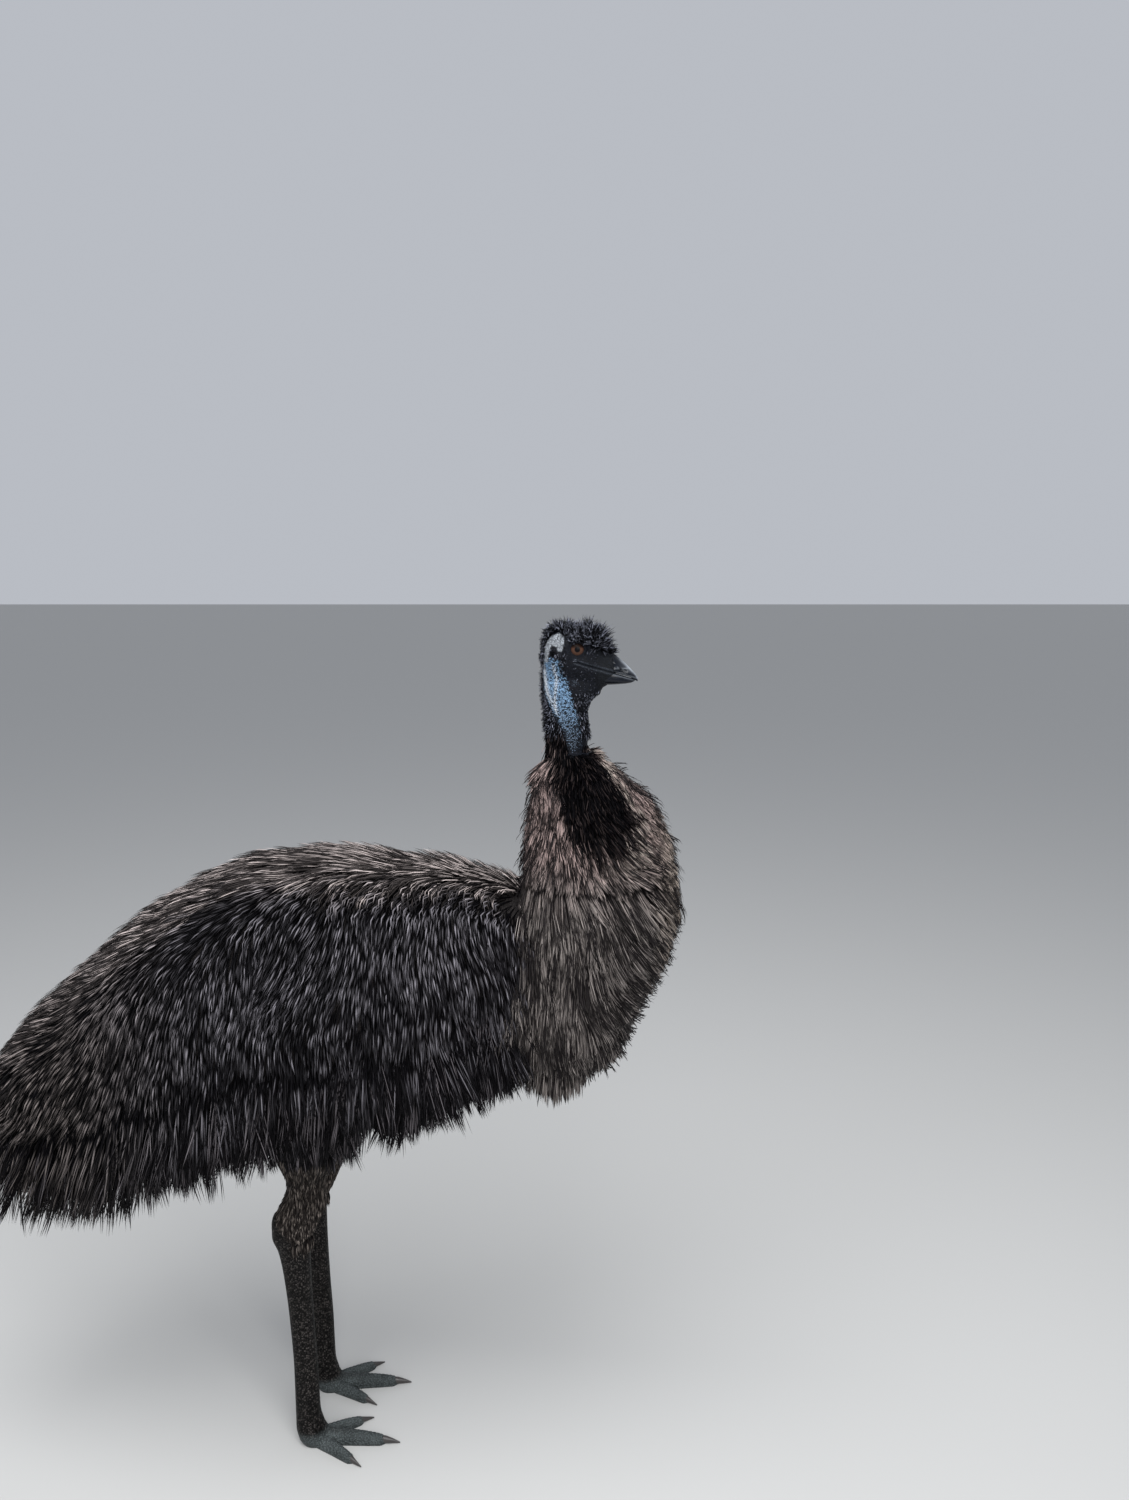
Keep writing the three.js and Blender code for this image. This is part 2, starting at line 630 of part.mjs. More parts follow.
function feet(side) {
  const place = (solid, toe) =>
    solid.rotate([0, 0, -side * toe.turn]).translate([TOE_ROOT_X, side * FEET_Y, 0]);
  const nodes = {};
  const leg = shank(side).trimByPlane([0, 0, 1], 0).subtract(thigh(side, GAP));
  let others = shank(side, GAP);
  for (const toe of TOES) {
    const claw = place(clawForm(toe), toe);
    const body = place(toeForm(toe).trimByPlane([0, 0, 1], 0).subtract(clawForm(toe, GAP)), toe);
    nodes[`claw_${toe.name}`] = claw;
    nodes[`toe_${toe.name}`] = largest(body.subtract(others));
    others = join(others, place(toeForm(toe, GAP), toe));
  }
  return { shank: leg, ...nodes };
}

const emu = new THREE.Group();

// Corners that all but meet are merged once more, which frees any scrap that only hung on by them.
function add(name, solid, material) {
  const geometry = geometryOf(solidOf(geometryOf(solid)));
  geometry.computeVertexNormals();
  const mesh = new THREE.Mesh(geometry, material);
  mesh.name = name;
  emu.add(mesh);
}

const coats = coat();
for (const [node, solid] of Object.entries(coats)) {
  const material = { breast: MATERIALS.breast, neck_hackle: MATERIALS.hackle }[node] ?? MATERIALS.plumage;
  add(node, solid, material);
}

const { head, neck_bare: neckBare } = headAndNeck();
add("head", head, MATERIALS.hackle);
add("neck_bare", neckBare, MATERIALS.skin);
const upperBill = nostrils().reduce((bill, hole) => bill.subtract(hole), billHalf(CULMEN, true));
add("bill_upper", upperBill, MATERIALS.horn);
add("bill_lower", billHalf(GONYS, false), MATERIALS.horn);

const FOOT_MATERIALS = { shank: MATERIALS.scales, claw: MATERIALS.claw, toe: MATERIALS.toes };
for (const [hand, side] of [["right", -1], ["left", 1]]) {
  add(`eye_${hand}`, sphere(EYE.radius, EYE.x, side * EYE.y, EYE.z), MATERIALS.eye);
  for (const [part, solid] of Object.entries(feet(side))) {
    add(`${part}_${hand}`, solid, FOOT_MATERIALS[part.split("_")[0]]);
  }
}

// The part's origin is on the ground under the middle of its own box.
const box = new THREE.Box3().setFromObject(emu);
const middle = box.getCenter(new THREE.Vector3());
emu.position.set(-middle.x, -middle.y, -box.min.z);

export default emu;
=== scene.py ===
"""A standing emu at life size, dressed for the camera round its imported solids.

Sizes are in millimetres from a point on the ground between the shanks. +X is the way the bird faces, +Y its
left and +Z up. in_frame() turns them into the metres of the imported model.
"""

import math

import bmesh
import bpy
import numpy as np
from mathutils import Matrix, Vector
from mathutils.bvhtree import BVHTree
from mathutils.kdtree import KDTree


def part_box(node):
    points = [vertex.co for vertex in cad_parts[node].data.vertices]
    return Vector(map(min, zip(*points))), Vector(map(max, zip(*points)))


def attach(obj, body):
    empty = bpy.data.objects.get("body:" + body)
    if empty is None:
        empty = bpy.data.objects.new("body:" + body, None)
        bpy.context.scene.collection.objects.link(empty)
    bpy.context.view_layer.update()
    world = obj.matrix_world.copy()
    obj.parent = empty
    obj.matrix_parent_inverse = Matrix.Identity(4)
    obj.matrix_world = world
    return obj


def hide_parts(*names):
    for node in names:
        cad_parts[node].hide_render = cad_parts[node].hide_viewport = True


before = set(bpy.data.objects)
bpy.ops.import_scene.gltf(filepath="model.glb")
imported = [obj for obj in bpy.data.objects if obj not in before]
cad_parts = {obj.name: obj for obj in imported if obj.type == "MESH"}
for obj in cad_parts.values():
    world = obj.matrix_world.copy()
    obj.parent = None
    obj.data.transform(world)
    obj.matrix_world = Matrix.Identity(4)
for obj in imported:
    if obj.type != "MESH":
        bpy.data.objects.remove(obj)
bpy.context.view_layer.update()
draws = np.random.default_rng(404)
SIDES = ((-1, "right"), (1, "left"))

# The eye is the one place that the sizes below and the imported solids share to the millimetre: it ties them.
SOLID_EYE = np.array([482.0, -22.0, 1491.0])
EYE = SOLID_EYE + [0.0, 0.0, 2.5]  # on the dressed head the eye is seen a little higher
low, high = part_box("eye_right")
ORIGIN = SOLID_EYE - (np.array(low) + np.array(high)) * 500


def in_frame(points):
    """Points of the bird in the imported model's metres."""
    return (np.asarray(points, float) - ORIGIN) / 1000


# The camera stands at a person's eye height, level with the bird's crown, and looks a little down on its
# back. Its view is that of a phone's main camera held upright.
CAMERA_AT = [460, -1925, 1620]
LOOKS_DOWN = math.atan(175 / 1100)
camera_view = bpy.data.cameras.new("camera")
camera_view.sensor_width = 36
camera_view.lens = 26.4
camera = bpy.data.objects.new("camera", camera_view)
camera.location = in_frame(CAMERA_AT)
camera.rotation_euler = (math.pi / 2 - LOOKS_DOWN, 0, 0)
bpy.context.scene.collection.objects.link(camera)
bpy.context.scene.camera = camera


# The skin: one closed hide over the trunk, breast, thighs, neck and head, which all the plumage grows from.
# The tables run along each form: the place, its low side, its high side and its half width. In a row of five
# the fourth value is the middle's y.
TRUNK = [
    [-632, 584, 640, 6], [-575, 556, 732, 66], [-500, 550, 824, 96], [-400, 556, 917, 124],
    [-300, 576, 1004, 152], [-190, 600, 1070, 174], [-70, 628, 1117, 184], [60, 640, 1126, 184],
    [190, 662, 1112, 170], [300, 706, 1093, 148], [390, 735, 1062, 118], [480, 770, 960, 74],
    [530, 830, 880, 8],
]
CHEST = [
    [716, 405, 484, 60], [734, 372, 520, 100], [768, 352, 565, 135], [850, 340, 603, 155],
    [950, 345, 654, 160], [1050, 360, 672, 152], [1130, 372, 660, 135], [1200, 376, 638, 115],
    [1260, 384, 594, 92], [1300, 405, 548, 66], [1335, 424, 505, 40],
]
NECK = [
    [1270, 452, 482, 20], [1290, 436, 500, 31], [1340, 430, 501, 29], [1380, 427, 500, 28],
    [1400, 424, 506, 27.5], [1424, 422, 527, 27], [1450, 422, 533, 25], [1480, 428, 522, 21],
    [1495, 440, 500, 12],
]
SKULL = [
    [422, 1470, 1488, 8], [428, 1452, 1507, 18], [436, 1440, 1518, 24.5], [448, 1430, 1526, 29.5],
    [468, 1426, 1526, 31], [490, 1422, 1521, 31.5], [510, 1421, 1510, 27], [524, 1424, 1501, 22.5],
    [536, 1430, 1492, 19.5], [545, 1439, 1484, 16.5], [550, 1452, 1474, 8],
]
THIGH = [
    [730, -40, 60, -104, 30], [700, -62, 82, -104, 54], [640, -68, 86, -102, 60],
    [600, -54, 60, -97, 52], [565, -40, 34, -89, 42], [538, -36, 22, -84, 37], [505, -46, 26, -78, 36],
    [475, -62, 20, -74, 35], [450, -72, 9, -71, 33], [434, -66, 3, -70, 31], [418, -50, -10, -70, 26],
    [407, -38, -22, -70, 10],
]
CHEST_COAT = 24  # how deep the plumage of the breast is
THIGH_COAT = 3
RUFF_Z = 1290  # the fine skin of the head meets the coarse skin of the body here, under the ruff
BODY_VOXEL = 8
HEAD_VOXEL = 1.7
LID_RADIUS, LID_THICK, LID_Y = 12.9, 2.2, 28.6
EAR = (438, 1484)  # x and z


def smooth_rows(rows, places):
    """The rows of a table at the places, on a curve that never overshoots them."""
    table = np.array(rows, float)
    if table[0, 0] > table[-1, 0]:
        table = table[::-1]
    at, values = table[:, 0], table[:, 1:]
    slope = np.diff(values, axis=0) / np.diff(at)[:, None]
    tangent = np.concatenate([slope[:1], slope[1:], slope[-1:]])
    agree = slope[:-1] * slope[1:] > 0
    total = np.where(agree, slope[:-1] + slope[1:], 1)
    tangent[1:-1] = np.where(agree, 2 * slope[:-1] * slope[1:] / total, 0)
    places = np.clip(np.asarray(places, float), at[0], at[-1])
    i = np.clip(np.searchsorted(at, places) - 1, 0, len(at) - 2)
    span = (at[i + 1] - at[i])[:, None]
    t = (places - at[i])[:, None] / span
    return (
        (2 * t**3 - 3 * t**2 + 1) * values[i]
        + (t**3 - 2 * t**2 + t) * span * tangent[i]
        + (3 * t**2 - 2 * t**3) * values[i + 1]
        + (t**3 - t**2) * span * tangent[i + 1]
    )


def value_at(rows, places):
    """The first value in each row of a table at the places."""
    return smooth_rows(rows, places)[:, 0]


def signed_power(values, power):
    return np.sign(values) * np.abs(values) ** power


def section(rows, along, places, turns, square=(2, 2), grow=0.0, opened=1.0):
    """Points of a form at its places. A turn is 0 at the bird's left and a quarter at the top or front."""
    row = smooth_rows(rows, places)
    lowest, highest, half = row[:, 0], row[:, 1], row[:, -1]
    middle = row[:, 2] if row.shape[1] == 4 else 0.0
    power = 2 / np.where(np.sin(turns) > 0, square[0], square[1])
    across = middle + opened * np.maximum(half + grow, 0.5) * signed_power(np.cos(turns), power)
    upward = opened * np.maximum((highest - lowest) / 2 + grow, 0.5) * signed_power(np.sin(turns), power)
    up = (lowest + highest) / 2 + upward
    return np.stack([places, across, up] if along == "x" else [up, across, places], axis=1)


def draw_out(bm, rows, along="x", square=(2, 2), grow=0.0, segments=48, rings=48, bunch=1.0):
    """Adds a sphere drawn out along a table."""
    made = bmesh.ops.create_uvsphere(bm, u_segments=segments, v_segments=rings, radius=1)["verts"]
    ball = np.array([corner.co[:] for corner in made])
    reach = grow * np.sign(rows[-1][0] - rows[0][0])
    share = np.arccos(np.clip(ball[:, 2], -1, 1)) / math.pi
    share += bunch * ((1 - ball[:, 2]) / 2 - share)
    places = rows[0][0] - reach + (rows[-1][0] - rows[0][0] + 2 * reach) * share
    opened = np.where(np.abs(ball[:, 2]) > 0.99999, 0, 1)
    turns = np.arctan2(ball[:, 1], ball[:, 0])
    for corner, place in zip(made, section(rows, along, places, turns, square, grow, opened)):
        corner.co = place


def left_side(rows):
    return [[at, lowest, highest, -middle, half] for at, lowest, highest, middle, half in rows]


def mesh_of(bm, name):
    """The finished mesh of a bmesh, with its faces outward."""
    bmesh.ops.recalc_face_normals(bm, faces=bm.faces)
    mesh = bpy.data.meshes.new(name)
    bm.to_mesh(mesh)
    bm.free()
    return mesh


def fused(bm, voxel):
    """One closed surface round the forms in a bmesh."""
    rough = bpy.data.objects.new("rough", mesh_of(bm, "rough"))
    bpy.context.scene.collection.objects.link(rough)
    remesh = rough.modifiers.new("fuse", "REMESH")
    remesh.mode = "VOXEL"
    remesh.voxel_size = voxel
    whole = bmesh.new()
    whole.from_mesh(rough.evaluated_get(bpy.context.evaluated_depsgraph_get()).data)
    bpy.data.meshes.remove(rough.data)
    return whole


def soften(bm, times):
    for _ in range(times):
        axes = {"use_axis_x": True, "use_axis_y": True, "use_axis_z": True}
        bmesh.ops.smooth_vert(bm, verts=bm.verts, factor=0.5, **axes)


def cut_at(bm, z, keep="both"):
    """Cuts a bmesh level and keeps what is above it, below it or both."""
    everything = bm.verts[:] + bm.edges[:] + bm.faces[:]
    dropped = {"clear_outer": keep == "below", "clear_inner": keep == "above"}
    bmesh.ops.bisect_plane(bm, geom=everything, plane_co=(0, 0, z), plane_no=(0, 0, 1), **dropped)


TRUNK_SHAPE = {"rows": TRUNK, "along": "x", "square": (1.9, 2.3)}
CHEST_SHAPE = {"rows": CHEST, "along": "z", "square": (2.1, 2.1), "grow": -CHEST_COAT}

body = bmesh.new()
draw_out(body, **TRUNK_SHAPE)
draw_out(body, **CHEST_SHAPE)
draw_out(body, NECK, "z")
for rows in (THIGH, left_side(THIGH)):
    draw_out(body, rows, "z", grow=-THIGH_COAT)
body = fused(body, BODY_VOXEL)
soften(body, 3)

head = bmesh.new()
draw_out(head, SKULL, "x", (2.2, 2.2))
draw_out(head, NECK, "z", segments=64, rings=64)
draw_out(head, CHEST[-4:], "z", (2.1, 2.1), -CHEST_COAT)
lid = bmesh.new()
bmesh.ops.create_circle(lid, cap_ends=False, segments=10, radius=LID_THICK)
bmesh.ops.translate(lid, verts=lid.verts, vec=(LID_RADIUS, 0, 0))
all_round = {"axis": (0, 1, 0), "cent": (0, 0, 0), "angle": math.tau, "steps": 40, "use_merge": True}
bmesh.ops.spin(lid, geom=lid.edges[:], **all_round)
for side in (-1, 1):
    ring = lid.copy()
    for corner in ring.verts:
        x, y, z = corner.co
        corner.co = (EYE[0] + 1.08 * x, side * LID_Y + 1.5 * y, EYE[2] + 0.92 * z)
    head.from_mesh(mesh_of(ring, "lid"))
head = fused(head, HEAD_VOXEL)
soften(head, 2)

cut_at(body, RUFF_Z, "below")
cut_at(head, RUFF_Z, "above")
skin_form = bmesh.new()
for half in (head, body):
    joined = bpy.data.meshes.new("joined")
    half.to_mesh(joined)
    half.free()
    skin_form.from_mesh(joined)
openings = [edge for edge in skin_form.edges if edge.is_boundary]
bmesh.ops.bridge_loops(skin_form, edges=openings)
bmesh.ops.triangulate(skin_form, faces=skin_form.faces)

# The bare head and neck are modelled in the skin itself: the mouth line that runs on from the bill, the
# ear's cup, the ridge of the brow and the fold that runs down the blue side of the neck.
MOUTH = {"x": 478, "z": 1472, "fall": 0.3}
# Going up the neck: z, and how far round from the throat, in degrees, the blue skin starts and ends.
BLUE_BAND = [
    [1300, 46, 76], [1330, 44, 90], [1354, 47, 102], [1372, 53, 116], [1400, 78, 142], [1420, 96, 160],
    [1440, 107, 168], [1456, 111, 172], [1478, 114, 174],
]
BLUE_FOLD = [[1360, 112], [1395, 121], [1424, 125], [1452, 123], [1475, 120]]
PALE_PATCH = [
    (426, 1490), (427, 1500), (431, 1509), (440, 1518), (451, 1522), (460, 1513), (459, 1503),
    (456, 1490), (449, 1489), (446, 1497), (438, 1499), (434, 1490), (431, 1470), (424, 1470),
]
COAL = np.array([0.0034, 0.0044, 0.0078])
SLATE = np.array([0.060, 0.076, 0.100])
BLUE = np.array([0.140, 0.238, 0.365])
# WHITE paints the fold's pale line and the painted rim light on the neck.
WHITE = np.array([0.38, 0.41, 0.45])
PATCH_GREY = np.array([0.215, 0.232, 0.255])
LIP_HIGHLIGHT = np.array([0.055, 0.064, 0.080])
BILL_GREY = np.array([0.0065, 0.0078, 0.0105])
UNDER_COAT = np.array([0.012, 0.010, 0.010])


def rise(values, start, end):
    """0 at the start and 1 at the end, with soft corners."""
    t = np.clip((values - start) / (end - start), 0, 1)
    return t * t * (3 - 2 * t)


def fade(values, start, end):
    """1 at the start and 0 at the end, with soft corners."""
    return rise(-values, -end, -start)


def bell(values, middle, width):
    """1 at the middle, falling away to both sides."""
    return np.exp(-(((values - middle) / width) ** 2))


def toward(colour, other, share):
    """A colour moved a share of the way to another, for every point."""
    return colour + share[:, None] * (other - colour)


def mouth_z(x):
    return MOUTH["z"] - (x - MOUTH["x"]) * MOUTH["fall"]


def within(points, outline, soft):
    """How far points lie inside an outline: 1 inside, 0 outside and soft between."""
    outline = np.array(outline, float)
    ends = np.roll(outline, -1, axis=0)
    inside = np.zeros(len(points), bool)
    nearest = np.full(len(points), np.inf)
    for a, b in zip(outline, ends):
        along = np.clip(((points - a) @ (b - a)) / ((b - a) @ (b - a)), 0, 1)
        nearest = np.minimum(nearest, np.linalg.norm(points - a - along[:, None] * (b - a), axis=1))
        crosses = (a[1] > points[:, 1]) != (b[1] > points[:, 1])
        rate = (b[0] - a[0]) / (b[1] - a[1]) if b[1] != a[1] else 0.0
        inside ^= crosses & (points[:, 0] < a[0] + (points[:, 1] - a[1]) * rate)
    return rise(np.where(inside, nearest, -nearest), -soft, soft)


def turn_round(rows, points):
    """How far round an upright form points lie, in degrees: 0 in front and 180 behind."""
    at = smooth_rows(rows, points[:, 2])
    middle = (at[:, 0] + at[:, 1]) / 2
    deep = (at[:, 1] - at[:, 0]) / 2
    return np.degrees(np.arctan2(np.abs(points[:, 1]) / at[:, 2], (points[:, 0] - middle) / deep))


def blue_skin(points, soft=5):
    """How blue the bare skin is: 1 in the band on the side of the neck."""
    edges = smooth_rows(BLUE_BAND, points[:, 2])
    turn = turn_round(NECK, points)
    side = rise(turn, edges[:, 0] - soft, edges[:, 0] + soft)
    side *= fade(turn, edges[:, 1] - soft, edges[:, 1] + soft)
    return side * rise(points[:, 2], 1300, 1345) * fade(points[:, 2], 1474, 1482)


def pale_patch(points, soft=1.5):
    on_side = (np.abs(points[:, 1]) > 5) & (points[:, 2] > 1470)
    return within(points[:, [0, 2]], PALE_PATCH, soft) * on_side


skin_form.verts.ensure_lookup_table()
skin = np.array([corner.co[:] for corner in skin_form.verts])
x, flank_y, z = skin[:, 0], np.abs(skin[:, 1]), skin[:, 2]
turned = turn_round(NECK, skin)
off_line = z - mouth_z(x)
face = rise(x, 468, 480) * (z > 1400) * rise(flank_y, 2, 8)
groove = 2.4 * bell(off_line, 0, 1.7) * face
lip = 1.1 * bell(off_line, 4.5, 2.4) * face
at_ear = np.hypot((x - EAR[0]) / 4.6, (z - EAR[1]) / 6.4)
ear = (5.5 * bell(at_ear, 0, 1) - 1.8 * bell(at_ear, 1.7, 0.5)) * (flank_y > 10) * (z > 1440)
brow = 2.2 * bell(z, 1506, 5) * bell(x, 488, 17) * (flank_y > 14)
fold = bell(turned, value_at(BLUE_FOLD, z), 4) * rise(z, 1365, 1400) * fade(z, 1464, 1474)
skin[:, 1] += np.sign(skin[:, 1]) * (lip + brow + 1.3 * fold - groove - ear)
for corner, place in zip(skin_form.verts, skin):
    corner.co = place
skin_form.normal_update()
hide = BVHTree.FromBMesh(skin_form)

blue = blue_skin(skin, 10)
patch = pale_patch(skin)
front_turn, rim_turn = smooth_rows(BLUE_BAND, z).T
# The pale line along the fold, and a painted rim light: a pale band at the band's nape edge, where light
# catches the outline of the neck.
rim_light = bell(turned - rim_turn, -10, 9) * rise(z, 1365, 1425) * fade(z, 1488, 1496)
fold_and_rim_light = np.clip(0.85 * fold * blue + 1.1 * rim_light, 0, 1)
cheek = 0.25 * bell(x, 478, 9) * bell(z, 1436, 9) * (flank_y > 15)
bare_bill = rise(x, 505, 530) * (z > 1430) * (z < 1494)
# Painted highlights: pale lines just above and below the mouth line, where the lips catch the light.
lip_highlights = (bell(off_line, 3.4, 1.4) + 0.7 * bell(off_line, -3.4, 1.4)) * face
deep_blue = toward(BLUE, SLATE, 0.9 * fade(z, 1330, 1425))
skin_tint = np.where((z > RUFF_Z)[:, None], COAL, UNDER_COAT)
for colour, share in (
    (BILL_GREY, bare_bill),
    (deep_blue, rise(blue, 0.02, 0.3)),
    (SLATE, rise(cheek, 0.05, 0.3)),
    (WHITE, fold_and_rim_light),
    (PATCH_GREY, patch),
    (LIP_HIGHLIGHT, 0.7 * lip_highlights),
):
    skin_tint = toward(skin_tint, colour, share)

# How much of the skin's grain stays dark, so that the blue thins out in dots.
toward_front = fade(turned, front_turn, rim_turn)
dark_share = 1 - blue * (0.85 - 0.25 * toward_front - 0.38 * fade(z, 1330, 1430))
dark_share = np.minimum(dark_share, 1 - cheek)
dark_share = np.where((z > RUFF_Z) & (bare_bill < 0.1), dark_share, 0)
dark_share = np.minimum(dark_share, 1 - 0.93 * np.maximum(fold_and_rim_light, patch))
dark_share = np.where(lip_highlights > 0.3, 0, dark_share)

skin_mesh = mesh_of(skin_form, "skin")
skin_mesh.shade_smooth()
tint = skin_mesh.attributes.new("tint", "FLOAT_COLOR", "POINT")
tint.data.foreach_set("color", np.column_stack([skin_tint, dark_share]).ravel())
faces = np.empty(len(skin_mesh.polygons) * 3, np.int32)
skin_mesh.polygons.foreach_get("vertices", faces)
skin_corners = skin[faces.reshape(-1, 3)]
spans = np.cross(skin_corners[:, 1] - skin_corners[:, 0], skin_corners[:, 2] - skin_corners[:, 0])
skin_area = np.linalg.norm(spans, axis=1) / 2
corner_up = np.empty(len(skin) * 3)
skin_mesh.vertices.foreach_get("normal", corner_up)
skin_up = corner_up.reshape(-1, 3)[faces.reshape(-1, 3)].mean(axis=1)
skin_up /= np.linalg.norm(skin_up, axis=1)[:, None]
skin_centre = skin_corners.mean(axis=1)
skin_mesh.vertices.foreach_set("co", in_frame(skin).ravel())
skin_mesh.update()


def finish_of(name, **constants):
    """A new material with its shader, and what it reads."""
    made = bpy.data.materials.new(name)
    made.use_nodes = True
    shader = made.node_tree.nodes["Principled BSDF"]
    for socket, value in constants.items():
        shader.inputs[socket.replace("_", " ")].default_value = value
    return made, made.node_tree, shader


def feed(tree, sockets, feeds):
    """Gives each socket a value or another node's output."""
    for socket, value in dict(feeds).items():
        if isinstance(value, bpy.types.NodeSocket):
            tree.links.new(value, sockets[socket])
        else:
            sockets[socket].default_value = value


def add_node(tree, kind, feeds=(), **settings):
    node = tree.nodes.new(kind)
    for key, value in settings.items():
        setattr(node, key, value)
    feed(tree, node.inputs, feeds)
    return node


def sums(tree, operation, *values):
    return add_node(tree, "ShaderNodeMath", dict(enumerate(values)), operation=operation).outputs[0]


def times(tree, *values):
    return sums(tree, "MULTIPLY", *values)


def blend(tree, share, below, above, mode="MIX"):
    feeds = {0: share, 6: below, 7: above}
    return add_node(tree, "ShaderNodeMix", feeds, data_type="RGBA", blend_type=mode).outputs[2]


def shaded(tree, colour, shade):
    """A colour times a shade of grey."""
    grey = add_node(tree, "ShaderNodeCombineColor", {0: shade, 1: shade, 2: shade}).outputs[0]
    return blend(tree, 1.0, colour, grey, "MULTIPLY")


def own_place(tree):
    return add_node(tree, "ShaderNodeTexCoord").outputs["Object"]


def painted(tree, name):
    """What an attribute of the mesh holds."""
    return add_node(tree, "ShaderNodeAttribute", attribute_name=name).outputs


def coat_with(tree, shader, colour):
    tree.links.new(colour, shader.inputs["Base Color"])


def spread(tree, value, low, high, to_low, to_high):
    """A value moved from one range to another, with soft corners."""
    feeds = {"Value": value, "From Min": low, "From Max": high, "To Min": to_low, "To Max": to_high}
    return add_node(tree, "ShaderNodeMapRange", feeds, interpolation_type="SMOOTHSTEP").outputs["Result"]


def effect(name, inputs, outputs):
    """An empty node group with named inputs and outputs."""
    group = bpy.data.node_groups.new(name, "ShaderNodeTree")
    kinds = {"value": "NodeSocketFloat", "colour": "NodeSocketColor", "place": "NodeSocketVector"}
    for socket, kind in inputs.items():
        group.interface.new_socket(socket, in_out="INPUT", socket_type=kinds[kind])
    for socket, kind in outputs.items():
        group.interface.new_socket(socket, in_out="OUTPUT", socket_type=kinds[kind])
    return group, group.nodes.new("NodeGroupInput").outputs, group.nodes.new("NodeGroupOutput").inputs


# Pebbles: small rounded grains with dark gaps between, as on the bare skin, the shanks and the toes.
grain_values = {"Height": "value", "Shade": "value", "Own": "value"}
pebbles, given, gives = effect("pebbles", {"Place": "place", "Size": "value"}, grain_values)
per_size = sums(pebbles, "DIVIDE", 1.0, given["Size"])
grains = add_node(pebbles, "ShaderNodeTexVoronoi", {"Vector": given["Place"], "Scale": per_size})
own_shade = add_node(pebbles, "ShaderNodeSeparateColor", {0: grains.outputs["Color"]}).outputs[0]
dome = spread(pebbles, grains.outputs["Distance"], 0.15, 0.75, 1.0, 0.0)
pebbles.links.new(dome, gives["Height"])
pebbles.links.new(own_shade, gives["Own"])
lit = spread(pebbles, dome, 0.1, 0.75, 0.12, 1.1)
lit = times(pebbles, lit, spread(pebbles, own_shade, 0, 1, 0.5, 1.4))
pebbles.links.new(lit, gives["Shade"])

# Cloudiness: broad soft changes of shade, as dust, damp and age leave.
cloud_values = {"Place": "place", "Size": "value", "Depth": "value"}
clouds, given, gives = effect("clouds", cloud_values, {"Shade": "value"})
per_size = sums(clouds, "DIVIDE", 1.0, given["Size"])
cloud_feeds = {"Vector": given["Place"], "Scale": per_size, "Detail": 4.0}
noise = add_node(clouds, "ShaderNodeTexNoise", cloud_feeds).outputs["Fac"]
swing = times(clouds, sums(clouds, "SUBTRACT", noise, 0.5), given["Depth"])
clouds.links.new(sums(clouds, "ADD", swing, 1.0), gives["Shade"])


def placed_effect(tree, group, feeds):
    return add_node(tree, "ShaderNodeGroup", feeds, node_tree=group).outputs


def bumped(tree, shader, height, distance, strength=1.0):
    bump = add_node(tree, "ShaderNodeBump", {"Height": height, "Distance": distance, "Strength": strength})
    tree.links.new(bump.outputs[0], shader.inputs["Normal"])


bare_skin, tree, shader = finish_of("bare_skin", Roughness=0.42, Specular_IOR_Level=0.11)
here = own_place(tree)
tint = painted(tree, "tint")
grain = placed_effect(tree, pebbles, {"Place": here, "Size": 0.0014})
cloud = placed_effect(tree, clouds, {"Place": here, "Size": 0.010, "Depth": 0.7})
light_grain = spread(tree, sums(tree, "SUBTRACT", grain["Own"], tint["Alpha"]), -0.06, 0.06, 0.0, 1.0)
coloured = blend(tree, light_grain, (*COAL, 1), tint["Color"])
shade = times(tree, spread(tree, grain["Height"], 0.0, 0.6, 0.4, 1.15), cloud["Shade"])
shade = times(tree, shade, spread(tree, grain["Own"], 0.2, 1.0, 0.75, 1.5))
coat_with(tree, shader, shaded(tree, coloured, shade))
bumped(tree, shader, grain["Height"], 0.0005)


def put(mesh, name, material, slot, *nodes):
    """A finished piece on the bird, which stands for the named solids."""
    piece = bpy.data.objects.new(name, mesh)
    bpy.context.scene.collection.objects.link(piece)
    mesh.materials.append(material)
    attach(piece, "root")
    if nodes:
        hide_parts(*nodes)


put(
    skin_mesh,
    "skin",
    bare_skin,
    "skin",
    *("tail_coat", "torso", "breast", "neck_hackle", "head", "neck_bare"),
    *("wing_right", "wing_left", "thigh_right", "thigh_left"),
)

# The plumage: flat tapered strands combed over the skin. A strand is a flattened three-sided cone with one or
# two joints to bend at. Every coat is one mesh made from arrays of such strands.

# The hem of the skirt, going forward: x and z.
HEM = [
    [-690, 462], [-530, 440], [-408, 430], [-334, 436], [-304, 480], [-247, 518], [-185, 546],
    [-120, 576], [-38, 600], [61, 610], [100, 634], [132, 672], [160, 640], [204, 655], [240, 668],
    [280, 695], [318, 716], [360, 702], [400, 702], [447, 706], [540, 735],
]
CREASE_X = 388  # the breast's plumage meets the trunk's here
# The places of a strand's joints along it, its width at each and how much of its full lift it has there.
JOINTS = {2: (0, 0.76, 1), 3: (0, 0.42, 0.8, 1)}
WIDTHS = {2: (0.6, 1, 0), 3: (0.6, 0.95, 0.9, 0)}
LIFTS = {2: (0, 0.78, 1), 3: (0, 0.5, 0.88, 1)}


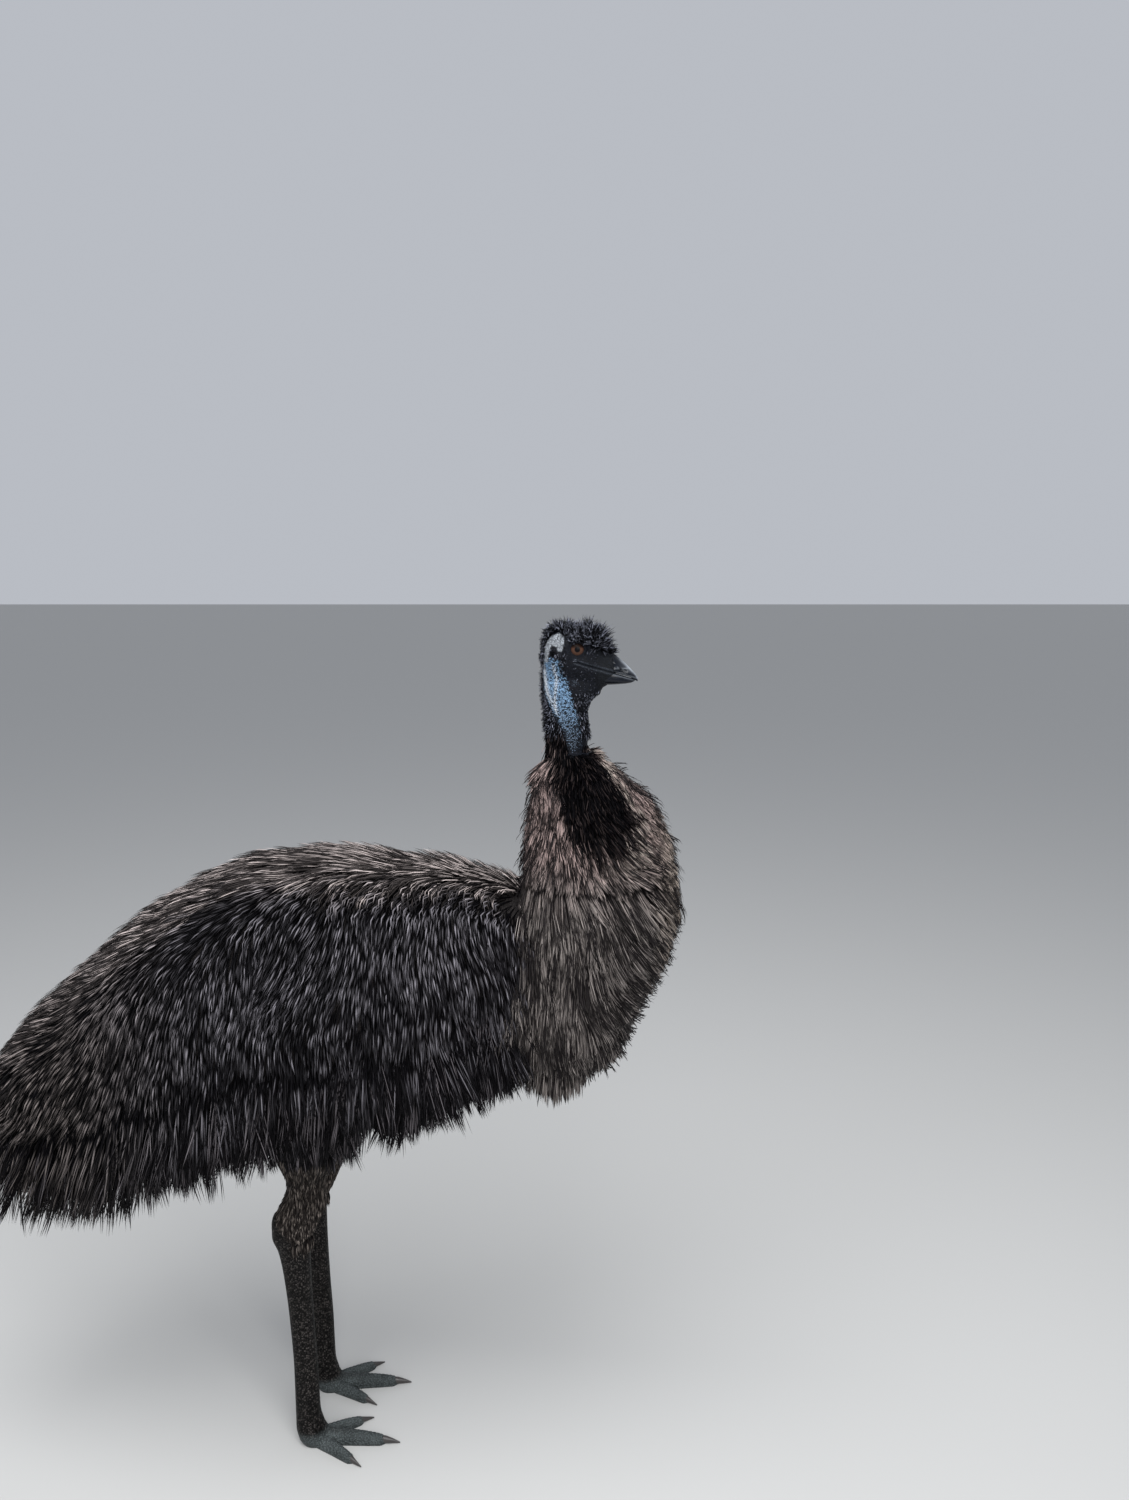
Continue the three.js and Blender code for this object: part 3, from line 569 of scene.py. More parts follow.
def strand_shape(joints):
    """Corners (joint, turn) and triangles of one strand."""
    bm = bmesh.new()
    bmesh.ops.create_cone(bm, cap_ends=True, segments=3, radius1=1, radius2=0, depth=joints)
    for joint in range(1, joints):
        cut_at(bm, joint - joints / 2)
    bmesh.ops.remove_doubles(bm, verts=bm.verts, dist=1e-4)
    bmesh.ops.triangulate(bm, faces=bm.faces)
    bmesh.ops.recalc_face_normals(bm, faces=bm.faces)
    bm.verts.index_update()
    joint = np.array([round(corner.co.z + joints / 2) for corner in bm.verts])
    turn = np.array([math.atan2(corner.co.y, corner.co.x) for corner in bm.verts])
    triangles = np.array([[corner.index for corner in face.verts] for face in bm.faces])
    bm.free()
    return joint, turn, triangles


STRANDS = {joints: strand_shape(joints) for joints in JOINTS}


def unit(vectors):
    return vectors / np.maximum(np.linalg.norm(vectors, axis=-1, keepdims=True), 1e-9)


def scatter(faces, count):
    """Places spread evenly over some of the skin's faces, with the way out of the skin there."""
    share = np.cumsum(skin_area[faces])
    at = (np.arange(count) + draws.random(count)) / count * share[-1]
    picked = faces[np.searchsorted(share, at)]
    a, b = draws.random((2, count, 1))
    a, b = np.where(a + b > 1, 1 - a, a), np.where(a + b > 1, 1 - b, b)
    corners = skin_corners[picked]
    places = corners[:, 0] + a * (corners[:, 1] - corners[:, 0]) + b * (corners[:, 2] - corners[:, 0])
    return places, skin_up[picked]


def comb(roots, up, length, lie, lift, hang, fall, joints=2):
    """The course of each strand over the skin.

    Where the way out of the skin points further down than hang, a strand falls free.
    """
    at, out = roots.copy(), up.copy()
    loose = out[:, 2] < hang
    course, outward = [at - 2 * out], [out]
    for joint, stride in enumerate(np.diff(JOINTS[joints]), 1):
        ahead = at + lie(at, out) * (length * stride)[:, None]
        found = [hide.find_nearest(place) for place in ahead]
        near = np.array([place[0][:] for place in found])
        near_out = np.array([place[1][:] for place in found])
        loose |= near_out[:, 2] < hang
        at = np.where(loose[:, None], at + fall * (length * stride)[:, None], near)
        out = np.where(loose[:, None], out, unit(out + 2 * near_out))
        course.append(at + out * (lift * LIFTS[joints][joint])[:, None])
        outward.append(out)
    return np.stack(course, axis=1), np.stack(outward, axis=1)


def locks(roots, share):
    """Which strand leads each one: the nearest of a share of them."""
    leaders = draws.permutation(len(roots))[: max(2, int(len(roots) * share))]
    tree = KDTree(len(leaders))
    for index, leader in enumerate(leaders):
        tree.insert(roots[leader], index)
    tree.balance()
    return leaders[[tree.find(root)[1] for root in roots]]


def alike(lock, low, high, own=0.4):
    """A random value for each strand, mostly that of its lock."""
    values = draws.random(len(lock))
    return low + (high - low) * ((1 - own) * values[lock] + own * draws.random(len(lock)))


def gather(course, lock, amount):
    """Draws strands together towards the one that leads their lock, more and more to their tips."""
    pull = amount[:, None] * np.array(JOINTS[course.shape[1] - 1]) ** 1.3
    return course + pull[:, :, None] * (course[lock] - course)


def falling(tilt):
    """The way down, turned back by degrees."""
    turn = np.radians(tilt)
    return np.stack([-np.sin(turn), 0 * turn, -np.cos(turn)], axis=1)


def strands(name, course, outward, width, base, pale, flat=0.3, roll=25, unwrap=None):
    """One mesh of strands along their courses, with the colours and places that its material reads."""
    count, joints = len(course), course.shape[1] - 1
    joint, turn, triangles = STRANDS[joints]
    places = np.array(JOINTS[joints])[joint]
    ahead = np.diff(course, axis=1)
    ahead = unit(np.concatenate([ahead[:, :1], ahead[:, :-1] + ahead[:, 1:], ahead[:, -1:]], axis=1))
    across = unit(np.cross(ahead, outward))
    over = np.cross(across, ahead)
    roll = np.radians(draws.normal(0, roll, count))[:, None, None]
    across, over = across * np.cos(roll) + over * np.sin(roll), over * np.cos(roll) - across * np.sin(roll)
    half = (width[:, None] / 2 * WIDTHS[joints])[:, joint, None]
    corners = course[:, joint] + half * (np.cos(turn)[:, None] * across[:, joint])
    corners = corners + half * flat * (np.sin(turn)[:, None] * over[:, joint])
    mesh = bpy.data.meshes.new(name)
    faces = (np.arange(count)[:, None, None] * len(joint) + triangles).ravel()
    mesh.vertices.add(count * len(joint))
    mesh.loops.add(len(faces))
    mesh.polygons.add(len(faces) // 3)
    mesh.vertices.foreach_set("co", in_frame(corners).ravel())
    mesh.loops.foreach_set("vertex_index", faces)
    mesh.polygons.foreach_set("loop_start", np.arange(0, len(faces), 3))
    mesh.update(calc_edges=True)
    mesh.shade_smooth()
    for kind, values in (("base", base), ("pale", pale)):
        colours = mesh.attributes.new(kind, "FLOAT_COLOR", "POINT")
        colours.data.foreach_set("color", np.repeat(values, len(joint), axis=0).ravel())
    mesh.attributes.new("along", "FLOAT", "POINT").data.foreach_set("value", np.tile(places, count))
    spot = unwrap[:, None, :] + 0.0015 * np.stack([np.cos(turn), 2 * places - 1], axis=1)
    mesh.uv_layers.new(name="OFBake").data.foreach_set("uv", spot.reshape(-1, 2)[faces].ravel())
    return mesh


def on_unwrap(roots, low, high, middle, up_axis=False):
    """Where roots lie on a form unrolled round its own axis."""
    along = roots[:, 2] if up_axis else roots[:, 0]
    around = roots[:, 0] - middle if up_axis else roots[:, 2] - middle
    turn = np.arctan2(roots[:, 1], around) / (2 * math.pi) + 0.5
    share = (along - low) / (high - low)
    return np.clip(np.stack([share, turn], axis=1), 0, 1) * 0.98 + 0.01


def drift(points, size):
    """A smooth random value about 0 that changes over a size, from waves in random directions."""
    ways = unit(draws.normal(size=(9, 3))) * 2 * math.pi / (size * draws.uniform(0.7, 1.5, (9, 1)))
    return np.sin(points @ ways.T + draws.uniform(0, 2 * math.pi, 9)).sum(axis=1) / 3


def tinted(colour, shade, strength=1.0):
    """Four numbers a strand: its colour, lighter or darker, and a strength."""
    shaded = np.asarray(colour) * np.asarray(shade)[:, None]
    return np.column_stack([shaded, np.broadcast_to(strength, len(shaded))])


def over_skin(way, out):
    return unit(way - out * np.sum(way * out, axis=1)[:, None])


def lean(at, out, back, sway):
    """The way down the side of the body, turned back by degrees, kept on the skin."""
    side = np.where(at[:, 1] < 0, -1.0, 1.0)
    down = np.stack([0 * side, side * out[:, 2], -side * out[:, 1]], axis=1)
    down = unit(down + np.array([0, 0, -0.05]))
    turn = np.radians(back + sway)[:, None]
    return over_skin(down * np.cos(turn) - np.array([1.0, 0, 0]) * np.sin(turn), out)


# Going forward: x and how far back from straight down the plumage lies, in degrees. It turns to this from the
# parting on the spine.
LIE = [
    [-660, 50], [-520, 42], [-400, 30], [-280, 15], [-150, 5], [60, 3], [220, -4], [300, -9],
    [400, -12],
]
WHORL = (15, 950, 60, 55, 38)  # over the thigh: x, z, half sizes and how much further back it lies


def spine_depth(points):
    """How far below the spine points lie."""
    return smooth_rows(TRUNK, points[:, 0])[:, 1] - points[:, 2]


def trunk_back(at):
    base = value_at(LIE, at[:, 0])
    reach = 60 + 84 * fade(at[:, 0], -200, 80) - 24 * rise(at[:, 0], 120, 300)
    swept = fade(spine_depth(at) / reach, 0.05, 1)
    x, z, half_long, half_high, turn = WHORL
    whorl = bell(at[:, 0], x, half_long) * bell(at[:, 2], z, half_high)
    return base + (84 - base) * swept + turn * whorl


def lying(back, sway):
    """The way of strands that are turned back by an angle worked out at each place."""

    def lie(at, out):
        return lean(at, out, back(at), sway)

    return lie


def trunk_unwrap(roots):
    return on_unwrap(roots, -650, 560, 860)


body_faces = np.flatnonzero(skin_centre[:, 2] < RUFF_Z)
body_centre = skin_centre[body_faces]
body_x, body_y, body_z = body_centre.T
body_depth = spine_depth(body_centre)
on_thigh = (body_z < 628) & (body_x > -95) & (body_x < 105) & (np.abs(body_y) > 36)
crease = CREASE_X - 22 * fade(body_z, 860, 1000) + 8 * drift(body_centre, 60)
on_breast = ~on_thigh & ((body_x > crease) & (body_z > 660) | (body_z > 1122) & (body_x > 340))
on_trunk = ~on_thigh & ~on_breast

SOOT = np.array([0.0028, 0.0026, 0.0033])
BACK_SOOT = np.array([0.0036, 0.0030, 0.0032])
FLANK_FLECK = np.array([0.172, 0.163, 0.181])
BACK_FLECK = np.array([0.56, 0.485, 0.465])
RUMP_FLECK = np.array([0.185, 0.160, 0.152])
TRUNK_HANG = -0.35


def flecks(roots, back, rump, skirt):
    """The pale colour of each of the trunk's strands."""
    fleck = toward(toward(FLANK_FLECK, RUMP_FLECK, rump), BACK_FLECK, back)
    # Painted shade: the flecks dim towards the hem, where the lower flank lies in shade.
    return fleck * ((1 - 0.38 * skirt) * draws.uniform(0.75, 1.3, len(roots)))[:, None]


def strengths(bright, least, dim_low, dim_high):
    """How strongly pale each strand is: a bright one from a least share up, any other within dim bounds."""
    count = len(bright)
    return np.where(bright, draws.uniform(least, 1, count), draws.uniform(dim_low, dim_high, count))


def trunk_coat(name, start, end, side, count):
    """The plumage of one length of one side of the trunk, below the back."""
    part = on_trunk & (body_depth > 10) & (body_x > start) & (body_x <= end)
    roots, up = scatter(body_faces[part & (body_y * side > 0)], count)
    x, y, z = roots.T
    lock = locks(roots, 0.2)
    back = fade(spine_depth(roots), 4, 42 + 40 * fade(x, -300, 0) - 24 * rise(x, 130, 320))
    rump = fade(x, -420, -120)
    hem = value_at(HEM, x)
    skirt = fade(z, hem + 120, hem + 300)
    sway = alike(lock, -9, 9) * (1 + 1.2 * skirt) + 8 * drift(roots, 90)
    length = (72 + 26 * skirt) * alike(lock, 0.75, 1.25)
    under = up[:, 2] < draws.uniform(-0.6, 0.0, count)
    to_hem = z - hem - draws.uniform(-6, 30, count)
    length = np.where(under, np.clip(to_hem * alike(lock, 0.68, 1.08), 22, 160), length)
    length = np.where(under, length, np.minimum(length, np.maximum(to_hem, 34)))
    length = np.where(under & (np.abs(y) < 90), np.minimum(length, 60), length)
    lift = 12.5 * alike(lock, 0.3, 1.7, 0.6) + 3 * drift(roots, 60)
    fall = falling(0.45 * value_at(LIE, x) + sway)
    course, outward = comb(roots, up, length, lying(trunk_back, sway), lift, TRUNK_HANG, fall)
    course = gather(course, lock, 0.15 + 0.45 * skirt)
    patchy = 0.18 * drift(roots, 110)
    # Painted shade: fewer bright strands towards the hem.
    bright = alike(lock, 0, 1, 0.8) < 0.53 + patchy - 0.2 * skirt - 0.12 * back
    strength = strengths(bright, 0.2, 0.02, 0.14)
    width = (3.1 - 0.7 * back - 0.9 * skirt) * draws.uniform(0.6, 1.35, count)
    base = tinted(SOOT, draws.uniform(0.4, 1.7, count), 0.56 - 0.14 * back - 0.16 * skirt)
    pale = np.column_stack([flecks(roots, back, rump, skirt), strength])
    return strands(name, course, outward, width, base, pale, roll=14, unwrap=trunk_unwrap(roots))


def back_coat(name, side, count):
    """The long feathers that part along the spine and sweep down."""
    near = body_depth < 26 + 24 * fade(body_x, -300, 0) - 12 * rise(body_x, 130, 320)
    roots, up = scatter(body_faces[on_trunk & near & (body_y * side > 0)], count)
    x = roots[:, 0]
    lock = locks(roots, 0.25)
    sway = alike(lock, -9, 9) + 7 * drift(roots, 80)
    length = alike(lock, 60, 98) * (1 - 0.3 * rise(x, 130, 320))
    lift = 15 * alike(lock, 0.4, 1.5) + 3 * drift(roots, 60)
    course, outward = comb(roots, up, length, lying(trunk_back, sway), lift, TRUNK_HANG, falling(sway), 3)
    course = gather(course, lock, np.full(count, 0.35))
    bright = alike(lock, 0, 1, 0.75) < 0.34 + 0.1 * drift(roots, 90)
    strength = strengths(bright, 0.35, 0, 0.12)
    rump = fade(x, -460, -180)
    pale = np.column_stack([flecks(roots, 1 - 0.45 * rump, rump, np.zeros(count)), strength])
    base = tinted(BACK_SOOT, draws.uniform(0.4, 1.6, count), 0.3)
    width = 2.1 * draws.uniform(0.7, 1.3, count)
    return strands(name, course, outward, width, base, pale, roll=18, unwrap=trunk_unwrap(roots))


def fringe_coat(name, side, count):
    """The thin loose strands of the skirt's edge, drawn together in points."""
    above_hem = body_z - value_at(HEM, body_x)
    edge = on_trunk & (above_hem > 35) & (above_hem < 215) & (skin_up[body_faces, 2] > -0.75)
    roots, up = scatter(body_faces[edge & (body_y * side > 0)], count)
    x, _, z = roots.T
    lock = locks(roots, 0.1)
    sway = alike(lock, -24, 24, 0.25) + 6 * drift(roots, 60)
    length = (z - value_at(HEM, x)) * alike(lock, 0.55, 1.22, 0.3) + draws.uniform(-14, 14, count)
    length = np.clip(length, 28, 145)
    lift = alike(lock, 7, 24)
    fall = falling(0.45 * value_at(LIE, x) + sway)
    course, outward = comb(roots, up, length, lying(trunk_back, sway), lift, TRUNK_HANG, fall, 3)
    course = gather(course, lock, draws.uniform(0.35, 0.85, count))
    strength = np.where(alike(lock, 0, 1, 0.6) < 0.37, draws.uniform(0.3, 1.0, count), 0.02)
    base = tinted(SOOT, draws.uniform(0.4, 1.6, count), 0.15)
    pale = tinted(FLANK_FLECK * [0.9, 0.86, 0.83], draws.uniform(0.6, 1.2, count), strength)
    width = draws.uniform(1.2, 2.3, count)
    return strands(name, course, outward, width, base, pale, unwrap=trunk_unwrap(roots))


plumage, tree, shader = finish_of("plumage", Roughness=0.48, Specular_IOR_Level=0.035)
along = painted(tree, "along")["Fac"]
base = painted(tree, "base")
pale = painted(tree, "pale")
past_start = spread(tree, sums(tree, "SUBTRACT", along, base["Alpha"]), 0.0, 0.14, 0.0, 1.0)
fleck = times(tree, past_start, spread(tree, along, 0.9, 1.0, 1.0, 0.1))
fleck = times(tree, fleck, pale["Alpha"])
coloured = blend(tree, fleck, base["Color"], pale["Color"])
# Painted shade: each strand darkens toward its root, where the strands over it shade it.
coat_with(tree, shader, shaded(tree, coloured, spread(tree, along, 0.0, 0.35, 0.3, 1.0)))

TRUNK_PARTS = [("tail", -700, -250, 5400), ("loin", -250, 90, 5600), ("shoulder_sheen", 90, 420, 4800)]
for side, hand in SIDES:
    for part, start, end, count in TRUNK_PARTS:
        name = f"coat_{part}_{hand}"
        put(trunk_coat(name, start, end, side, count), name, plumage, "plumage")
    put(back_coat(f"coat_back_{hand}", side, 4400), f"coat_back_{hand}", plumage, "plumage")
    put(fringe_coat(f"coat_fringe_{hand}", side, 3800), f"coat_fringe_{hand}", plumage, "plumage")


# The breast and the ruff: browner plumage mottled dark, long and loose in front. Above it hangs the black
# bib, which comes down to a point on either side and has a pale rim.
BREAST_SOOT = np.array([0.014, 0.012, 0.0125])
BREAST_PALE = np.array([0.30, 0.266, 0.25])
RUFF_PALE = np.array([0.45, 0.34, 0.32])
RIM_PALE = np.array([0.50, 0.435, 0.385])
FRONT_PALE = np.array([0.58, 0.49, 0.42])
BIB_BLACK = np.array([0.0019, 0.0017, 0.0023])
BREAST_HEM = [[380, 704], [459, 704], [523, 742], [563, 782], [600, 838], [650, 900]]  # x and the lowest z
BREAST_LIFT, BREAST_HANG = 18, -0.92
# Going round the neck from the front, in degrees: the z of the bib's lower edge.
BIB_EDGE = [
    [0, 1322], [26, 1314], [40, 1256], [53, 1204], [80, 1160], [104, 1164], [117, 1226], [126, 1288],
    [140, 1312], [180, 1314],
]


def above_bib(points):
    """How far above the bib's lower edge points lie."""
    return points[:, 2] - value_at(BIB_EDGE, turn_round(CHEST, points))


def breast_back(at):
    """The front feathers lie forward as well as down."""
    forward = 4 + 56 * rise(at[:, 0], 430, 680) * (0.45 + 0.55 * rise(at[:, 2], 760, 900))
    return 9 * fade(at[:, 0], 392, 430) - forward


def breast_colours(roots, lock):
    count = len(roots)
    x, _, z = roots.T
    turn = turn_round(CHEST, roots)
    above = above_bib(roots + np.array([0, 0, -8.0])) + 11 * draws.normal(size=count)
    black = rise(above, -8, 8)
    rim = bell(above, -24, 22) * fade(turn, 60, 100)
    ruff = rise(z, 1080, 1180)
    mottle = drift(roots * [1, 1, 0.55], 46) + 0.6 * drift(roots * [1, 1, 0.5], 20)
    # Painted shade: strands are darker near the crease where the breast meets the trunk, and low on the
    # breast.
    crease = 1 - rise(x, 368, 408) * rise(z, 600, 1010)
    front = rise(x, 570, 640)
    behind = rise(turn, 150, 172)
    midline = fade(turn, 5, 20) * rise(z, 930, 990)
    light = 0.55 + 0.26 * mottle + 0.14 * np.maximum(ruff, 1.9 * fade(z, 740, 900)) + 0.14 * front
    light = light - 0.2 * crease * (1 - ruff) - 0.35 * behind - 0.6 * midline
    strength = strengths(alike(lock, 0, 1, 0.7) < light, 0.4, 0, 0.25) * (1 - black)
    # Painted glints: a few of the black bib's strands get a faint pale fleck.
    strength = strength + 0.06 * black * (draws.random(count) < 0.22)
    strength = np.clip(np.maximum(strength, rim * draws.uniform(0.0, 1.0, count)), 0, 1)
    pale = toward(toward(BREAST_PALE, RUFF_PALE, ruff), FRONT_PALE, front)
    pale = toward(pale, RIM_PALE, rim)
    base = toward(BREAST_SOOT, BIB_BLACK, black) * draws.uniform(0.6, 1.5, (count, 1))
    pale = pale * draws.uniform(0.7, 1.3, (count, 1))
    return np.column_stack([base, np.full(count, 0.3)]), np.column_stack([pale, strength])


def breast_coat(name, side, low, high, count, long, wide):
    part = on_breast & (body_z > low) & (body_z <= high)
    roots, up = scatter(body_faces[part & (body_y * side > 0)], count)
    x, _, z = roots.T
    lock = locks(roots, 0.13)
    sway = alike(lock, -13, 13, 0.5) * (1 + 0.7 * rise(z, 1080, 1180)) + 9 * drift(roots, 60)
    length = long * alike(lock, 0.65, 1.3)
    to_hem = z - value_at(BREAST_HEM, x)
    length = np.minimum(length, np.maximum(to_hem + draws.uniform(-12, 12, count), 16))
    lift = BREAST_LIFT * alike(lock, 0.3, 1.45) * (0.75 + np.clip(0.5 * up[:, 0], -0.2, 0.5))
    lift = lift * (1 - 0.7 * fade(up[:, 2], -0.9, -0.45)) * (1 - 0.6 * rise(z, 1225, 1285))
    standing = draws.random(count) < 0.09
    lift = np.where(standing, lift + 0.9 * BREAST_LIFT, lift)
    fall = falling(np.zeros(count))
    course, outward = comb(roots, up, length, lying(breast_back, sway), lift, BREAST_HANG, fall, 3)
    course = gather(course, lock, np.full(count, 0.4))
    base, pale = breast_colours(roots, lock)
    pale[standing, 3] = 0
    width = wide * draws.uniform(0.7, 1.3, count)
    return strands(name, course, outward, width, base, pale, unwrap=on_unwrap(roots, 650, 1350, 500, True))


for side, hand in SIDES:
    name = f"coat_breast_{hand}"
    put(breast_coat(name, side, 640, 1110, 9800, 80, 2.0), name, plumage, "breast")
    name = f"coat_ruff_{hand}"
    put(breast_coat(name, side, 1110, 1292, 6800, 41, 2.1), name, plumage, "hackle")


# The thighs: short close brown plumage that ends in a point in front of the hock.
TROUSER = np.array([0.011, 0.009, 0.0085])
TROUSER_PALE = np.array([0.185, 0.158, 0.14])


def thigh_coat(name, side, count):
    roots, up = scatter(body_faces[on_thigh & (body_y * side > 0)], count)
    low = fade(roots[:, 2], 460, 570)
    sway = draws.normal(0, 9, count)
    front = rise(roots[:, 0], -62, -30)
    length = (48 - 28 * low + 12 * low * front) * draws.uniform(0.7, 1.25, count)
    height = (8 - 3 * low) * draws.uniform(0.5, 1.3, count)
    way = falling(-sway) + [-0.06, 0, 0]
    fall = np.broadcast_to([0.0, 0.0, -1.0], roots.shape)
    course, outward = comb(roots, up, length, lambda at, out: over_skin(way, out), height, -0.8, fall)
    course = gather(course, locks(roots, 0.1), np.full(count, 0.35))
    bright = draws.random(count) < 0.32
    strength = strengths(bright, 0.5, 0, 0.15)
    base = tinted(TROUSER, draws.uniform(0.5, 1.6, count), 0.45)
    pale = tinted(TROUSER_PALE, draws.uniform(0.6, 1.3, count) * (0.75 + 0.25 * low), strength)
    width = 3.2 * draws.uniform(0.7, 1.25, count)
    return strands(name, course, outward, width, base, pale, unwrap=on_unwrap(roots, 400, 650, 0, True))


for side, hand in SIDES:
    put(thigh_coat(f"coat_thigh_{hand}", side, 4800), f"coat_thigh_{hand}", plumage, "plumage")


# The head and neck: a curly crest, short bristles on the face and throat, and hackles that widen the foot of
# the neck into the ruff. They stand free of the skin.
HAIR = np.array([0.0030, 0.0029, 0.0037])
HAIR_SHINE = np.array([0.050, 0.053, 0.066])

head_faces = np.flatnonzero(skin_centre[:, 2] >= RUFF_Z - 8)
head_x, head_y, head_z = skin_centre[head_faces].T
head_turn = turn_round(NECK, skin_centre[head_faces])
head_blue = blue_skin(skin_centre[head_faces])
head_patch = pale_patch(skin_centre[head_faces], 3)
by_eye = (np.hypot(head_x - EYE[0], head_z - EYE[2]) < 16.5) & (np.abs(head_y) > 14)
by_mouth = (np.abs(head_z - mouth_z(head_x)) < 3.5) & (head_x > 472)
brow_line = 1502 + 0.1 * np.abs(head_y) - 0.55 * np.clip(head_x - 500, 0, 32)
brow_line -= 34 * fade(head_x, 432, 446)
bare_back = (head_x < 468) & (np.abs(head_y) > 11) & ((head_z < 1512) | (head_patch > 0.1))
crown = (head_z > brow_line) & (head_x < 547) & ~bare_back


def spring(roots, length, ways, droop, curl):
    """The course of free strands: they leave along their ways, droop, and curl each its own way."""
    aside = unit(np.cross(ways, draws.normal(size=ways.shape)))
    course = [roots]
    for stride in np.diff(JOINTS[3]):
        ways = unit(ways + aside * curl + np.array([0, 0, -droop]))
        course.append(course[-1] + ways * (length * stride)[:, None])
    return np.stack(course, axis=1)


def hairs(name, picked, count, long, wide, way, droop=0.0, curl=0.0, stray=0.15, gathered=0.3, colours=None):
    """Free strands from some of the head's faces. Their length and way are worked out for each root."""
    roots, up = scatter(head_faces[picked], count)
    length = long(roots) * draws.uniform(0.6, 1.3, count)
    ways = unit(unit(way(roots, up)) + draws.normal(0, stray, (count, 3)))
    lock = locks(roots, 0.1)
    course = gather(spring(roots - 1.2 * up, length, ways, droop, curl), lock, np.full(count, gathered))
    outward = np.repeat(up[:, None], len(JOINTS[3]), axis=1)
    base, pale = colours(roots, lock) if colours else (
        tinted(HAIR, draws.uniform(0.5, 1.6, count), 0.3),
        tinted(HAIR_SHINE, 0.06 + 9.0 * draws.random(count) ** 7, 0.75),
    )
    width = wide * draws.uniform(0.7, 1.3, count)
    return strands(name, course, outward, width, base, pale, 0.8, 40, on_unwrap(roots, 1280, 1530, 475, True))


# Going forward along the crown: x, how long the crest's hair is and how far forward it leans.
CREST = [
    [424, 10, -1.1], [434, 19, -0.5], [455, 25, -0.1], [485, 20, 0.0], [502, 36, -0.05],
    [518, 39, -0.05], [532, 23, 0.1], [546, 11, 0.4],
]


def crest_way(roots, up):
    ahead = smooth_rows(CREST, roots[:, 0])[:, 1]
    side = fade(roots[:, 2] + 0.55 * np.clip(roots[:, 0] - 500, 0, 32), 1503, 1517)
    behind = fade(roots[:, 0], 455, 475)
    nape_side = fade(roots[:, 0], 430, 446) * fade(roots[:, 2], 1482, 1510)
    lifted = 1.1 - 0.95 * side - 0.9 * nape_side
    outward = up * [0.3, 1, 0.5] * (1 - 0.6 * behind[:, None])
    return outward + np.stack([ahead, 0 * ahead, lifted], axis=1)


def crest_long(roots):
    shorter = 0.35 + 0.25 * fade(roots[:, 0], 462, 475)
    return value_at(CREST, roots[:, 0]) * (1 - shorter * rise(np.abs(roots[:, 1]), 6, 24))


def slanting(way, standing):
    """The way of hair that lies along a way over the skin and stands up a little."""

    def slant(roots, up):
        return over_skin(np.array([way]), up) + standing * up

    return slant


def hackle_way(roots, up):
    turn = turn_round(NECK, roots)
    spread_out = 0.2 + 0.3 * fade(turn, 90, 150) * rise(turn, 35, 75) * fade(roots[:, 2], 1300, 1345)
    return over_skin(np.array([[0, 0, -1.0]]), up) + spread_out[:, None] * up


def short(roots):
    return np.full(len(roots), 4.5)


def neck_long(roots):
    return 7 + 9 * fade(roots[:, 2], 1345, 1400)


def nape_long(roots):
    return 10 + 3 * fade(roots[:, 2], 1345, 1400)


def hackle_long(roots):
    return 22 + 24 * fade(roots[:, 2], 1306, 1356) * (0.2 + 0.8 * rise(turn_round(NECK, roots), 35, 80))


bare = (head_blue > 0.4) | (head_patch > 0.4)
jaw = (head_z > 1421) & (head_x > 462)
nape = (head_turn > 140) & (head_z > 1352) & ~crown & ~bare
face_part = jaw & ~crown & ~by_eye & ~by_mouth & (head_x < 520) & ~bare
throat = ~jaw & ~nape & ~crown & ~bare & (head_z > 1345)
foot = head_z < 1354 - 26 * fade(head_turn, 30, 75) - 36 * (head_blue > 0.2)
face_way = slanting([-0.75, 0, -0.45], 0.3)
neck_way = slanting([-0.1, 0, -1.0], 0.35)
nape_way = slanting([-0.15, 0, -1.0], 0.7)
CREST_HAIR = {"curl": 0.45, "stray": 0.4, "gathered": 0.36}
NAPE_HAIR = {"curl": 0.3, "stray": 0.6, "gathered": 0.15}
HACKLE_HAIR = {"droop": 0.1, "curl": 0.12, "colours": breast_colours}
for name, slot, picked, count, long, wide, way, more in (
    ("crest", "skin", crown, 4200, crest_long, 1.15, crest_way, CREST_HAIR),
    ("face_bristles", "skin", face_part, 1900, short, 0.7, face_way, {}),
    ("throat_bristles", "skin", throat, 3600, neck_long, 1.0, neck_way, {"curl": 0.15}),
    ("nape_bristles", "skin", nape, 2300, nape_long, 0.8, nape_way, NAPE_HAIR),
    ("neck_hackles", "hackle", foot, 3400, hackle_long, 1.9, hackle_way, HACKLE_HAIR),
    ("band_hairs", "skin", head_blue > 0.6, 500, short, 0.5, neck_way, {}),
):
    put(hairs(name, picked, count, long, wide, way, **more), name, plumage, slot)


# The eyes: an amber iris round a dark pupil, under a wet clear coat.
PUPIL, IRIS = 4.8, 11.3
EYE_RADIUS, EYE_Y = 14.1, 21.3

wet = {"Coat_Weight": 0.04, "Coat_Roughness": 0.03}
eye_shine, tree, shader = finish_of("eye_shine", Roughness=0.35, Specular_IOR_Level=0.03, **wet)


def vectors(tree, operation, *values):
    return add_node(tree, "ShaderNodeVectorMath", dict(enumerate(values)), operation=operation).outputs


